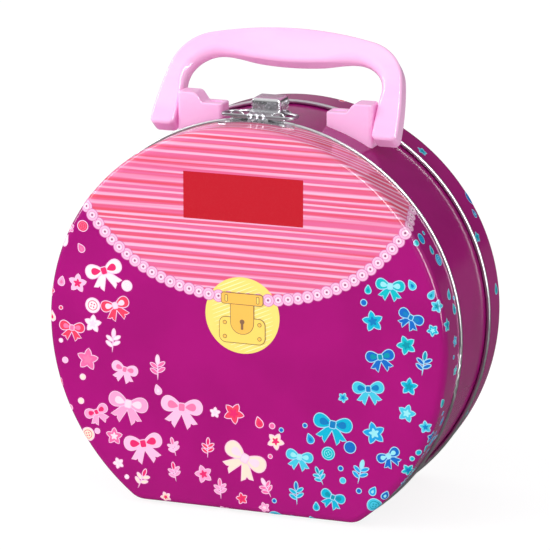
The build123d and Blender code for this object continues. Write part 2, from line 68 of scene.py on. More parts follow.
def ink(red: int, green: int, blue: int) -> Colour:
    """Turns a colour as the eye reads it into the linear colour that a shader takes.

    Args:
        red: Red, 0 to 255.
        green: Green, 0 to 255.
        blue: Blue, 0 to 255.

    Returns:
        The linear colour, opaque.
    """
    shares = (value / 255 for value in (red, green, blue))
    linear = [s / 12.92 if s <= 0.04045 else ((s + 0.055) / 1.055) ** 2.4 for s in shares]
    return (*linear, 1.0)


def shaded(colour: Colour, shares: Triple) -> Colour:
    """A colour with its red, green and blue each taken down to a share."""
    return (*(part * share for part, share in zip(colour[:3], shares)), 1.0)


def in_rows(*columns: np.ndarray) -> np.ndarray:
    """Rows of places or normals from their separate coordinates."""
    return np.stack(columns, axis=1)


MAGENTA = ink(168, 18, 120)
LABEL_RED = ink(192, 22, 40)
PLASTIC_PINK = ink(255, 201, 238)
WHITE = (1.0, 1.0, 1.0, 1.0)
PAINT_SPECULAR = 0.4
FILM_THICKNESS = 0.05
FILM_SUNK = 0.06
LOCK_MIDDLE = (-0.5, 97.5)


class Body(Enum):
    """Bodies of the tin that carry a new piece."""

    TUB = "tub"
    LID = "lid"
    HANDLE = "handle"
    BAIL = "bail"


class Slot(Enum):
    """Slots of the record that a new piece takes."""

    LID_PAINT = "lid_paint"
    BODY_PAINT = "body_paint"
    PLASTIC = "pink_plastic"
    CHROME = "latch_chrome"
    WIRE = "bright_wire"


class Side(Enum):
    """The two drawn shells, each with the way that it faces along Y."""

    FRONT = -1
    BACK = 1


class Flow:
    """A shader socket whose Python operators add the Math nodes they stand for."""

    def __init__(self, look: "Look", socket: bpy.types.NodeSocket) -> None:
        """Wraps one output socket of a look's node tree."""
        self.look = look
        self.socket = socket

    def maths(self, operation: str, *values: "Flow | float") -> "Flow":
        """Adds one Math node with this socket first.

        Args:
            operation: Name of the Math node's operation.
            values: Further inputs, sockets or numbers.

        Returns:
            The node's result.
        """
        inputs = dict(enumerate((self, *values)))
        return self.look.node("ShaderNodeMath", {"operation": operation}, inputs)

    def __add__(self, other: "Flow | float") -> "Flow":
        """Sum."""
        return self.maths("ADD", other)

    __radd__ = __add__

    def __sub__(self, other: "Flow | float") -> "Flow":
        """Difference."""
        return self.maths("SUBTRACT", other)

    def __rsub__(self, other: float) -> "Flow":
        """Difference from a number."""
        return self.maths("MULTIPLY", -1.0).maths("ADD", other)

    def __mul__(self, other: "Flow | float") -> "Flow":
        """Product."""
        return self.maths("MULTIPLY", other)

    __rmul__ = __mul__

    def __gt__(self, other: "Flow | float") -> "Flow":
        """1 where this is the greater, otherwise 0."""
        return self.maths("GREATER_THAN", other)

    def ramp(self, low: float, high: float) -> "Flow":
        """Smooth rise from 0 to 1.

        Args:
            low: Value that gives 0.
            high: Value that gives 1.

        Returns:
            The risen value.
        """
        settings = {"interpolation_type": "SMOOTHSTEP"}
        inputs = {"Value": self, "From Min": low, "From Max": high}
        return self.look.node("ShaderNodeMapRange", settings, inputs)

    def around(self, middle: float, spread: float) -> "Flow":
        """Turns a noise between 0 and 1 into values round a middle."""
        return self * spread + (middle - spread / 2)


class Look:
    """The node tree of a material or a world in the making."""

    def __init__(self, owner: bpy.types.Material | bpy.types.World) -> None:
        """Starts on a node tree.

        Args:
            owner: The material or world that the tree belongs to.
        """
        owner.use_nodes = True
        self.owner = owner
        self.tree = owner.node_tree

    @classmethod
    def material(cls, name: str) -> "Look":
        """Starts a new material, around one Principled shader."""
        return cls(bpy.data.materials.new(name))

    @property
    def shader(self) -> bpy.types.Node:
        """The material's Principled shader."""
        return self.tree.nodes["Principled BSDF"]

    def node(
        self,
        kind: str,
        settings: dict[str, object] | None = None,
        inputs: dict[str | int, object] | None = None,
        output: str | int = 0,
    ) -> Flow:
        """Adds one node.

        Args:
            kind: Type name of the node.
            settings: Properties that are set before the inputs.
            inputs: Values or links by socket name or number.
            output: The socket to return.

        Returns:
            The chosen output.
        """
        made = self.tree.nodes.new(kind)
        for key, value in (settings or {}).items():
            setattr(made, key, value)
        for key, value in (inputs or {}).items():
            self.feed(made.inputs[key], value)
        return Flow(self, made.outputs[output])

    def feed(self, socket: bpy.types.NodeSocket, value: object) -> None:
        """Links a flow to a socket, or sets the socket to a constant.

        Args:
            socket: The input that is fed.
            value: A flow or a constant.
        """
        if isinstance(value, Flow):
            self.tree.links.new(value.socket, socket)
        else:
            socket.default_value = value

    def finish(self, **values: object) -> bpy.types.Material:
        """Feeds the Principled shader.

        Args:
            values: Values or flows by the socket's name, with underscores for its spaces.

        Returns:
            The material.
        """
        for name, value in values.items():
            self.feed(self.shader.inputs[name.replace("_", " ")], value)
        return self.owner

    def place(self) -> Flow:
        """Object coordinates, in metres."""
        return self.node("ShaderNodeTexCoord", output="Object")

    def attribute(self, name: str, output: str = "Vector") -> Flow:
        """A mesh attribute by name."""
        return self.node("ShaderNodeAttribute", {"attribute_name": name}, output=output)

    def stretched(self, vector: Flow, by: Triple) -> Flow:
        """A vector times a number along each axis."""
        return self.node("ShaderNodeVectorMath", {"operation": "MULTIPLY"}, {0: vector, 1: by})

    def noise(self, vector: Flow, scale: float, detail: float) -> Flow:
        """Soft noise between 0 and 1."""
        inputs = {"Vector": vector, "Scale": scale, "Detail": detail}
        return self.node("ShaderNodeTexNoise", None, inputs)

    def outputs(
        self, kind: str, names: tuple[str, ...], inputs: dict[str | int, object] | None = None
    ) -> list[Flow]:
        """Adds one node and returns several of its outputs.

        Args:
            kind: Type name of the node.
            names: Names of the outputs.
            inputs: Values or links by socket name or number.

        Returns:
            The outputs, in the order of their names.
        """
        made = self.node(kind, None, inputs).socket.node
        return [Flow(self, made.outputs[name]) for name in names]

    def split(self, vector: Flow) -> list[Flow]:
        """The three parts of a vector."""
        return self.outputs("ShaderNodeSeparateXYZ", ("X", "Y", "Z"), {0: vector})

    def rays(self) -> list[Flow]:
        """1 for rays from the camera, and 1 for rays that show a reflection."""
        return self.outputs("ShaderNodeLightPath", ("Is Camera Ray", "Is Glossy Ray"))

    def glow(self, **inputs: object) -> Flow:
        """A shader that gives light."""
        return self.node("ShaderNodeEmission", None, inputs)

    def blend(self, share: Flow, first: Flow, second: Flow) -> Flow:
        """A shader between two shaders."""
        return self.node("ShaderNodeMixShader", None, {0: share, 1: first, 2: second})

    def mix(self, share: Flow | float, first: Flow | Colour, second: Flow | Colour) -> Flow:
        """Colour between two colours."""
        inputs = {"Factor": share, 6: first, 7: second}
        return self.node("ShaderNodeMix", {"data_type": "RGBA"}, inputs, 2)

    def bump(self, height: Flow, strength: float, distance: float) -> Flow:
        """Normal of a surface roughened by a height in metres."""
        inputs = {"Height": height, "Strength": strength, "Distance": distance}
        return self.node("ShaderNodeBump", None, inputs)


@dataclass(frozen=True)
class GlossPaint:
    """Stoved gloss paint on tinplate, very slightly uneven."""

    name: str
    colour: Colour
    roughness: float = 0.15
    rub_scale: float = 160.0
    rub_spread: float = 0.1
    shade: float = 0.86
    cloud_scale: float = 24.0
    cloud_ramp: Pair = (0.3, 0.7)
    peel_scale: float = 700.0
    peel_strength: float = 0.02
    peel_depth: float = 0.0002

    def clouded(self, look: Look) -> Flow:
        """The paint's colour, with clouds in a darker shade of it."""
        cloud = look.noise(look.place(), self.cloud_scale, detail=3.0).ramp(*self.cloud_ramp)
        return look.mix(cloud, shaded(self.colour, (self.shade,) * 3), self.colour)

    def peel(self, look: Look) -> Flow:
        """The normal of the paint's fine unevenness."""
        height = look.noise(look.place(), self.peel_scale, detail=1.0)
        return look.bump(height, self.peel_strength, self.peel_depth)

    def material(self) -> bpy.types.Material:
        """Makes the paint's material.

        Returns:
            The material.
        """
        look = Look.material(self.name)
        rub = look.noise(look.place(), self.rub_scale, detail=4.0)
        return look.finish(
            Base_Color=self.clouded(look),
            Roughness=rub.around(self.roughness, self.rub_spread),
            Normal=self.peel(look),
            Specular_IOR_Level=PAINT_SPECULAR,
        )


@dataclass(frozen=True)
class StripedFlap(GlossPaint):
    """The lid's printed sheet: a flap of hand-ruled stripes above plain gloss paint.

    The streaks are noises on the flat sheet in millimetres, each drawn out along the stripes by
    its own stretch across, up and through the sheet.
    """

    roughness: float = 0.13
    shade: float = 0.88
    edge_level: float = 105.5
    edge_square: float = 0.0034
    edge_fourth: float = 4.5e-7
    cycle: float = 3.3
    drift_stretch: Triple = (0.004, 0.11, 1.0)
    drift_angle: float = 11.0
    tone_stretch: Triple = (0.003, 0.46, 1.0)
    tone_ramp: Pair = (0.32, 0.62)
    light_stretch: Triple = (0.004, 0.39, 3.0)
    light_ramp: Pair = (0.36, 0.56)
    grain_stretch: Triple = (0.03, 2.2, 1.0)
    grain_share: float = 0.5
    stripe_ramp: Pair = (0.42, 1.0)
    coral: Colour = ink(226, 82, 108)
    rose: Colour = ink(226, 104, 152)
    pale: Colour = ink(238, 184, 214)
    blush: Colour = ink(234, 140, 180)

    def edge(self, across: float | np.ndarray) -> float | np.ndarray:
        """Level of the flap's edge at a distance across the sheet."""
        return self.edge_level + self.edge_square * across**2 + self.edge_fourth * across**4

    def material(self) -> bpy.types.Material:
        """Makes the sheet's material, which reads the place on the flat sheet in millimetres.

        Returns:
            The material.
        """
        look = Look.material(self.name)
        sheet = look.attribute(SHEET_PLACE)
        across, level, _ = look.split(sheet)
        square = across * across
        edge = square * square * self.edge_fourth + square * self.edge_square + self.edge_level
        drift = look.noise(look.stretched(sheet, self.drift_stretch), scale=1.0, detail=1.0)
        tone = look.noise(look.stretched(sheet, self.tone_stretch), scale=1.0, detail=1.0)
        light = look.noise(look.stretched(sheet, self.light_stretch), scale=1.0, detail=1.0)
        grain = look.noise(look.stretched(sheet, self.grain_stretch), scale=1.0, detail=3.0)
        phase = level * (math.tau / self.cycle) + drift * self.drift_angle
        wave = phase.maths("SINE") * 0.5 + 0.5
        dark = look.mix(tone.ramp(*self.tone_ramp), self.coral, self.rose)
        bright = look.mix(light.ramp(*self.light_ramp), self.blush, self.pale)
        share = (wave + grain * self.grain_share - self.grain_share / 2).ramp(*self.stripe_ramp)
        return look.finish(
            Base_Color=look.mix(level > edge, self.clouded(look), look.mix(share, dark, bright)),
            Roughness=self.roughness,
            Normal=self.peel(look),
            Specular_IOR_Level=PAINT_SPECULAR,
        )


@dataclass(frozen=True)
class PrintInk:
    """Printing ink with crayon grain, coloured by the mesh's own ink attribute."""

    name: str
    roughness: float = 0.22
    grain: float = 0.004
    grain_scale: float = 1300.0
    grain_ramp: Pair = (0.42, 0.72)
    paper: Colour = WHITE

    def material(self) -> bpy.types.Material:
        """Makes the ink's material.

        Returns:
            The material.
        """
        look = Look.material(self.name)
        colour = look.attribute(INK, "Color")
        grain = look.noise(look.place(), self.grain_scale, detail=3.0).ramp(*self.grain_ramp)
        return look.finish(
            Base_Color=look.mix(grain * self.grain, colour, self.paper),
            Roughness=self.roughness,
            Specular_IOR_Level=PAINT_SPECULAR,
        )


@dataclass(frozen=True)
class BrightMetal:
    """Plated or rolled metal with fine scratches."""

    name: str
    colour: Colour
    roughness: float
    grain: Triple = (1.0, 1.0, 1.0)
    fineness: float = 420.0
    bump: float = 0.0
    depth: float = 0.0004
    streak_spread: float = 0.08
    shade: float = 0.95
    patch_scale: float = 60.0
    patch_ramp: Pair = (0.35, 0.6)

    def material(self) -> bpy.types.Material:
        """Makes the metal's material.

        Returns:
            The material.
        """
        look = Look.material(self.name)
        streaks = look.noise(look.stretched(look.place(), self.grain), self.fineness, detail=2.0)
        patches = look.noise(look.place(), self.patch_scale, detail=3.0).ramp(*self.patch_ramp)
        if self.bump:
            look.finish(Normal=look.bump(streaks, self.bump, self.depth))
        return look.finish(
            Base_Color=look.mix(patches, shaded(self.colour, (self.shade,) * 3), self.colour),
            Metallic=1.0,
            Roughness=streaks.around(self.roughness, self.streak_spread),
        )


@dataclass(frozen=True)
class MouldedPlastic:
    """Glossy moulded plastic with faint flow marks.

    Its faint glow stands in for light that passes through the real one.
    """

    name: str
    colour: Colour
    roughness: float = 0.2
    deep: Triple = (0.97, 0.9, 0.96)
    flow_stretch: Triple = (18.0, 60.0, 60.0)
    flow_ramp: Pair = (0.35, 0.65)
    skin_scale: float = 1100.0
    skin_spread: float = 0.08
    skin_strength: float = 0.06
    skin_depth: float = 0.00015
    scatter: float = 0.12
    scatter_radius: Triple = (1.0, 0.6, 0.8)
    scatter_scale: float = 0.002
    glow: float = 0.07
    glow_colour: Colour = ink(255, 120, 205)

    def material(self) -> bpy.types.Material:
        """Makes the plastic's material.

        Returns:
            The material.
        """
        look = Look.material(self.name)
        flow = look.noise(look.stretched(look.place(), self.flow_stretch), scale=1.0, detail=3.0)
        skin = look.noise(look.place(), self.skin_scale, detail=2.0)
        deep = shaded(self.colour, self.deep)
        return look.finish(
            Base_Color=look.mix(flow.ramp(*self.flow_ramp), deep, self.colour),
            Roughness=skin.around(self.roughness, self.skin_spread),
            Subsurface_Weight=self.scatter,
            Subsurface_Radius=self.scatter_radius,
            Subsurface_Scale=self.scatter_scale,
            Emission_Color=self.glow_colour,
            Emission_Strength=self.glow,
            Normal=look.bump(skin, self.skin_strength, self.skin_depth),
        )


FLAP = StripedFlap("printed_lid_sheet", MAGENTA)
BODY_PAINT = GlossPaint("body_gloss", MAGENTA)
TINPLATE = BrightMetal("tinplate", ink(212, 212, 214), 0.34, grain=(0.4, 1.0, 1.0))
LATCH_PLATING = BrightMetal("latch_plating", ink(218, 218, 221), 0.26, fineness=230.0, bump=0.2)
WIRE_PLATING = BrightMetal("wire_plating", ink(172, 172, 176), 0.3)
PLAIN_STEEL = BrightMetal("plain_steel", ink(190, 190, 192), 0.34, grain=(0.3, 1.0, 1.0))
RIVET_STEEL = BrightMetal("rivet_steel", ink(196, 196, 199), 0.32)
HANDLE_PLASTIC = MouldedPlastic("handle_plastic", PLASTIC_PINK)


@dataclass(frozen=True)
class TinOutline:
    """Outline of the tin on the outermost line of its rims: crown, flanks, corners, flat bottom."""

    crown_radius: float = 100.0
    crown_height: float = 87.2
    flank_shift: float = 7.45
    corner_radius: float = 11.0
    arc_step: float = 1.5
    corner_steps: int = 10
    bottom_steps: int = 12
    least_reach: float = 1e-6

    @property
    def corner_x(self) -> float:
        """Distance of a corner arc's centre from the middle."""
        reach = self.crown_radius + self.flank_shift - self.corner_radius
        drop = self.crown_height - self.corner_radius
        return math.sqrt(reach**2 - drop**2) - self.flank_shift

    @property
    def flank_angle(self) -> float:
        """Angle below level at which a flank meets its corner, in degrees."""
        drop = self.crown_height - self.corner_radius
        return math.degrees(math.atan2(drop, self.corner_x + self.flank_shift))

    def stations(self) -> np.ndarray:
        """Places and outward normals round the outline.

        Returns:
            Rows of x, z, normal x and normal z, from the bottom's middle towards +X.
        """
        flank_steps = round(self.flank_angle / self.arc_step)
        crown_steps = round(90 / self.arc_step)
        rows = [(x, 0.0, 0.0, -1.0) for x in np.linspace(0, self.corner_x, self.bottom_steps)[:-1]]
        arcs = (
            (self.corner_x, self.corner_radius, self.corner_radius,
             np.linspace(-90, -self.flank_angle, self.corner_steps)[:-1]),
            (-self.flank_shift, self.crown_height, self.crown_radius + self.flank_shift,
             np.linspace(-self.flank_angle, 0, flank_steps)[:-1]),
            (0.0, self.crown_height, self.crown_radius, np.linspace(0, 90, crown_steps)),
        )
        for centre_x, centre_z, radius, angles in arcs:
            for angle in np.radians(angles):
                normal = (math.cos(angle), math.sin(angle))
                place = (centre_x + radius * normal[0], centre_z + radius * normal[1])
                rows.append((*place, *normal))
        mirrored = [(-x, z, -nx, nz) for x, z, nx, nz in rows[-2:0:-1]]
        return np.array(rows + mirrored)

    def inset_of(self, places: np.ndarray) -> tuple[np.ndarray, np.ndarray]:
        """Distance inside the outline, and the outward normal there.

        Args:
            places: Rows of x and z.

        Returns:
            The insets, and rows of normal x and normal z.
        """
        side = np.where(places[:, 0] < 0, -1.0, 1.0)
        x, z = np.abs(places[:, 0]), places[:, 1]
        above = z >= self.crown_height
        angle = np.degrees(np.arctan2(z - self.crown_height, x + self.flank_shift))
        flank = ~above & (angle >= -self.flank_angle)
        corner = ~above & ~flank & (x >= self.corner_x)
        centre_x = np.where(above, 0.0, np.where(flank, -self.flank_shift, self.corner_x))
        centre_z = np.where(above | flank, self.crown_height, self.corner_radius)
        radius = np.where(
            above,
            self.crown_radius,
            np.where(flank, self.crown_radius + self.flank_shift, self.corner_radius),
        )
        away = in_rows(x - centre_x, z - centre_z)
        reach = np.linalg.norm(away, axis=1)
        curved = above | flank | corner
        normals = np.where(
            curved[:, None], away / np.maximum(reach, self.least_reach)[:, None], (0.0, -1.0)
        )
        normals[:, 0] *= side
        return np.where(curved, radius - reach, z), normals


@dataclass(frozen=True)
class DrawnSheet:
    """A flat printed sheet drawn into a shell: a flat face, a rounded edge and a wall.

    A place on the flat sheet keeps its place on the face. Beyond the face it runs over the
    rounding and along the wall, as far as it lay outside the face's edge.
    """

    outline: TinOutline
    side: Side
    face: float = 45.0
    wall_inset: float = 1.2
    rounding: float = 3.5
    wall_end: float = 24.1

    @property
    def edge_inset(self) -> float:
        """Inset of the edge of the flat face."""
        return self.wall_inset + self.rounding

    @property
    def turn_length(self) -> float:
        """Length of sheet that goes round the rounding."""
        return self.rounding * math.pi / 2

    @property
    def wall_length(self) -> float:
        """Length of sheet on the wall."""
        return self.face - self.rounding - self.wall_end

    @property
    def end_inset(self) -> float:
        """Inset of the sheet's outer end as it lay flat, which is below 0."""
        return self.edge_inset - self.turn_length - self.wall_length

    def place(self, sheet: np.ndarray, lift: float) -> np.ndarray:
        """Carries places on the flat sheet to the drawn surface.

        Args:
            sheet: Rows of distance across and level, in millimetres.
            lift: Height over the bare surface.

        Returns:
            Rows of x, y and z, in millimetres.
        """
        inset, normal = self.outline.inset_of(sheet)
        past = np.maximum(self.edge_inset - inset, 0.0)
        turn = np.minimum(past / self.rounding, math.pi / 2)
        along = np.maximum(past - self.turn_length, 0.0)
        radius = self.rounding + lift
        target = np.where(past > 0, self.edge_inset - radius * np.sin(turn), inset)
        flat = sheet + (inset - target)[:, None] * normal
        depth = self.face - self.rounding + radius * np.cos(turn) - along
        return in_rows(flat[:, 0], self.side.value * depth, flat[:, 1])

    def reach(self) -> float:
        """Half width of the flat sheet."""
        radius = self.outline.crown_radius - self.edge_inset
        return radius + self.turn_length + self.wall_length


class Workshop:
    """Mesh steps that several sub-assemblies share."""

    @staticmethod
    def select_none() -> None:
        """Leaves nothing selected and Blender in object mode."""
        if bpy.context.mode != "OBJECT":
            bpy.ops.object.mode_set(mode="OBJECT")
        bpy.ops.object.select_all(action="DESELECT")

    @staticmethod
    def apply(piece: bpy.types.Object, kind: str, **settings: object) -> None:
        """Adds a modifier and applies it.

        Args:
            piece: The piece that it changes.
            kind: Type name of the modifier.
            settings: The modifier's properties.
        """
        modifier = piece.modifiers.new(kind.lower(), kind)
        for key, value in settings.items():
            setattr(modifier, key, value)
        bpy.context.view_layer.objects.active = piece
        bpy.ops.object.modifier_apply(modifier=modifier.name)

    @staticmethod
    def finish_faces(piece: bpy.types.Object, angle: float = 35.0) -> None:
        """Merges doubles, turns every face outwards and shades the piece smooth.

        Args:
            piece: The piece.
            angle: Greatest angle between faces that is still shaded smooth, in degrees.
        """
        Workshop.select_none()
        piece.select_set(True)
        bpy.context.view_layer.objects.active = piece
        bpy.ops.object.mode_set(mode="EDIT")
        bpy.ops.mesh.select_all(action="SELECT")
        bpy.ops.mesh.remove_doubles(threshold=WELD)
        bpy.ops.mesh.normals_make_consistent(inside=False)
        bpy.ops.object.mode_set(mode="OBJECT")
        bpy.ops.object.shade_smooth_by_angle(angle=math.radians(angle))

    @staticmethod
    def extrude_rings(name: str, rings: list[np.ndarray], capped: bool) -> bpy.types.Object:
        """Extrudes a closed ring from one set of places to the next.

        Args:
            name: Name of the new piece.
            rings: Places of each ring's corners, in millimetres.
            capped: Whether the two end rings are filled. Otherwise they are bridged.

        Returns:
            The piece, with the ring number and the station number of each corner as attributes.
        """
        Workshop.select_none()
        fill = "NGON" if capped else "NOTHING"
        bpy.ops.mesh.primitive_circle_add(vertices=len(rings[0]), radius=MM, fill_type=fill)
        piece = bpy.context.object
        piece.name = name
        piece.data.name = name
        bpy.ops.object.mode_set(mode="EDIT")
        bpy.ops.mesh.select_mode(type="EDGE")
        mesh = bmesh.from_edit_mesh(piece.data)
        mesh.verts.layers.int.new(STATION)
        mesh.verts.layers.int.new(RING)
        station = mesh.verts.layers.int[STATION]
        for number, corner in enumerate(mesh.verts):
            corner[station] = number
            corner.co = Vector(rings[0][number]) * MM
        for edge in mesh.edges:
            edge.select = True
        bmesh.update_edit_mesh(piece.data)
        for level, ring in enumerate(rings[1:], 1):
            bpy.ops.mesh.extrude_edges_indiv()
            mesh = bmesh.from_edit_mesh(piece.data)
            station = mesh.verts.layers.int[STATION]
            ring_layer = mesh.verts.layers.int[RING]
            for corner in mesh.verts:
                if corner.select:
                    corner[ring_layer] = level
                    corner.co = Vector(ring[corner[station]]) * MM
            bmesh.update_edit_mesh(piece.data)
        if capped:
            bpy.ops.mesh.edge_face_add()
        else:
            mesh = bmesh.from_edit_mesh(piece.data)
            for edge in mesh.edges:
                edge.select = edge.is_boundary
            bmesh.update_edit_mesh(piece.data)
            bpy.ops.mesh.bridge_edge_loops()
        bpy.ops.mesh.select_mode(type="VERT")
        bpy.ops.object.mode_set(mode="OBJECT")
        return piece

    @staticmethod
    def drop_marks(piece: bpy.types.Object) -> None:
        """Removes the ring and station numbers once nothing more needs them."""
        for name in (RING, STATION):
            piece.data.attributes.remove(piece.data.attributes[name])

    @staticmethod
    def dress(
        piece: bpy.types.Object, body: Body, slot: Slot, material: bpy.types.Material
    ) -> None:
        """Gives a new piece its finish and the body it moves with.

        Args:
            piece: The new piece.
            body: The body that carries it.
            slot: Not used.
            material: Its finish.
        """
        piece.data.materials.clear()
        piece.data.materials.append(material)
        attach(piece, body.value)
        log.info("%s: %d faces, on %s", piece.name, len(piece.data.polygons), body.value)

    @staticmethod
    def dress_node(name: str, material: bpy.types.Material) -> None:
        """Gives a CAD node its finish.

        Args:
            name: Name of the node.
            material: Its finish.
        """
        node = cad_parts[name]
        for number in range(len(node.material_slots)):
            node.material_slots[number].material = material
        log.info("%s: finished in %s", name, material.name)


@dataclass
class PaintFilm:
    """The paint on the outside of one drawn shell, as a thin closed skin over the tinplate."""

    sheet: DrawnSheet
    name: str
    turn_steps: int = 10
    wall_steps: int = 8
    smooth_angle: float = 30.0
    map_margin: float = 1.02
    hidden_size: float = 0.03
    hidden_start: float = 0.005

    def lines(self, lift: float) -> list[Pair]:
        """Lines of the skin round the shell.

        Args:
            lift: Height of the lines over the bare surface.

        Returns:
            How far past the face's edge each line lies on the flat sheet, and its lift.
        """
        turn = np.linspace(0, self.sheet.turn_length, self.turn_steps)
        end = self.sheet.turn_length + self.sheet.wall_length
        wall = np.linspace(self.sheet.turn_length, end, self.wall_steps)[1:]
        return [(float(past), lift) for past in (*turn, *wall)]

    def build(self) -> bpy.types.Object:
        """Makes the skin.

        Returns:
            The skin, with its place on the flat sheet as an attribute and a bake map.
        """
        stations = self.sheet.outline.stations()
        outer = self.lines(FILM_THICKNESS)
        lines = outer + self.lines(-FILM_SUNK)[::-1]
        edge = stations[:, :2] - self.sheet.edge_inset * stations[:, 2:]
        flats = [edge + past * stations[:, 2:] for past, _ in lines]
        rings = [self.sheet.place(flat, lift) for flat, (_, lift) in zip(flats, lines)]
        piece = Workshop.extrude_rings(self.name, rings, capped=True)
        Workshop.finish_faces(piece, self.smooth_angle)
        self.lay_out(piece, np.array(flats), len(outer))
        return piece

    def lay_out(self, piece: bpy.types.Object, flats: np.ndarray, outer: int) -> None:
        """Writes the flat sheet's places and the bake map to the mesh.

        Args:
            piece: The skin.
            flats: Places on the flat sheet by ring and station.
            outer: Number of rings on the outside, which get nearly the whole bake map.
        """
        mesh = piece.data
        count = len(mesh.vertices)
        ring, station = np.zeros(count, np.int32), np.zeros(count, np.int32)
        mesh.attributes[RING].data.foreach_get("value", ring)
        mesh.attributes[STATION].data.foreach_get("value", station)
        flat = flats[ring, station]
        places = np.zeros((count, 3), np.float32)
        places[:, :2] = flat
        layer = mesh.attributes.new(SHEET_PLACE, "FLOAT_VECTOR", "POINT")
        layer.data.foreach_set("vector", places.ravel())
        middle = np.array((0.0, self.sheet.outline.crown_height))
        unit = 0.5 + (flat - middle) / (2 * self.map_margin * self.sheet.reach())
        bake = mesh.uv_layers.get("UVMap") or mesh.uv_layers.new(name=BAKE_MAP)
        bake.name = BAKE_MAP
        corners = np.zeros(len(mesh.loops), np.int32)
        mesh.loops.foreach_get("vertex_index", corners)
        hidden = np.zeros(len(mesh.loops), bool)
        for face in mesh.polygons:
            loops = slice(face.loop_start, face.loop_start + face.loop_total)
            hidden[loops] = ring[corners[loops]].max() >= outer
        small = unit[corners] * self.hidden_size + self.hidden_start
        spot = np.where(hidden[:, None], small, unit[corners])
        mesh.uv_layers[BAKE_MAP].data.foreach_set("uv", spot.astype(np.float32).ravel())
        Workshop.drop_marks(piece)


class Shape:
    """Outlines of printed figures, round their own middle, at size 1 or in half sizes.

    Each is an array with a row of x and z for each corner, anticlockwise.
    """

    @staticmethod
    def turns(corners: int) -> np.ndarray:
        """Angles of evenly spread corners."""
        return np.linspace(0, math.tau, corners, endpoint=False)

    @staticmethod
    def polar(radius: np.ndarray, angle: np.ndarray) -> np.ndarray:
        """Corners from radius and angle."""
        return in_rows(radius * np.cos(angle), radius * np.sin(angle))

    @staticmethod
    def disc(corners: int = 24) -> np.ndarray:
        """A round spot of radius 1."""
        return Shape.polar(np.ones(corners), Shape.turns(corners))

    @staticmethod
    def oval(width: float, height: float, corners: int = 24) -> np.ndarray:
        """An oval with these half sizes."""
        return Shape.disc(corners) * np.array((width, height))

    @staticmethod
    def star(
        points: int = 5, waist: float = 0.5, sharpness: float = 1.15, corners: int = 50
    ) -> np.ndarray:
        """A star with soft points.

        Args:
            points: Number of points.
            waist: Radius between the points.
            sharpness: Power of the rise from waist to point, above 1 for thinner points.
            corners: Number of corners.

        Returns:
            The outline.
        """
        angle = Shape.turns(corners)
        wave = np.abs(((angle * points / math.tau) % 1.0) - 0.5) * 2
        return Shape.polar(waist + (1 - waist) * wave**sharpness, angle + math.pi / 2)

    @staticmethod
    def drop(corners: int = 28, width: float = 0.62, taper: float = 0.55) -> np.ndarray:
        """A drop with its point upwards."""
        angle = Shape.turns(corners)
        return in_rows(width * np.cos(angle) * (1 - np.sin(angle)) ** taper, np.sin(angle))

    @staticmethod
    def leaf(width: float = 0.36, taper: float = 1.4, corners: int = 24) -> np.ndarray:
        """A leaf with a point at each end.

        Args:
            width: Half width.
            taper: Power of the narrowing towards the points.
            corners: Number of corners.

        Returns:
            The outline.
        """
        angle = Shape.turns(corners)
        side = np.sign(np.cos(angle)) * width
        return in_rows(side * np.abs(np.cos(angle)) ** taper, np.sin(angle))

    @staticmethod
    def tail() -> np.ndarray:
        """A ribbon end from its narrow top down to a notched foot.

        Returns:
            The outline.
        """
        return np.array(
            ((0.13, 0.5), (-0.13, 0.5), (-0.2, 0.0), (-0.3, -0.5), (-0.1, -0.42), (0.0, -0.3),
             (0.1, -0.42), (0.3, -0.5), (0.2, 0.0))
        )

    @staticmethod
    def wider(shape: np.ndarray, by: float) -> np.ndarray:
        """The same outline moved outwards, with its sharp corners kept short.

        Args:
            shape: The outline.
            by: Distance that its sides move by.

        Returns:
            The wider outline.
        """
        shortest_run, shortest_sum = 1e-9, 0.35
        before, after = np.roll(shape, 1, axis=0), np.roll(shape, -1, axis=0)
        normals = []
        for run in (shape - before, after - shape):
            length = np.maximum(np.linalg.norm(run, axis=1), shortest_run)
            normals.append(in_rows(run[:, 1], -run[:, 0]) / length[:, None])
        both = normals[0] + normals[1]
        size = np.maximum(np.linalg.norm(both, axis=1), shortest_sum)
        return shape + both / size[:, None] * by

    @staticmethod
    def box(width: float, height: float, corner: float, steps: int = 6) -> np.ndarray:
        """A rectangle with rounded corners.

        Args:
            width: Half width.
            height: Half height.
            corner: Radius of its corners.
            steps: Number of places on each corner.

        Returns:
            The outline.
        """
        runs = []
        for number, (x, z) in enumerate(((1, 1), (-1, 1), (-1, -1), (1, -1))):
            turn = np.radians(np.linspace(0, 90, steps) + 90 * number)
            centre = np.array((x * (width - corner), z * (height - corner)))
            runs.append(centre + corner * Shape.polar(np.ones(steps), turn))
        return np.concatenate(runs)


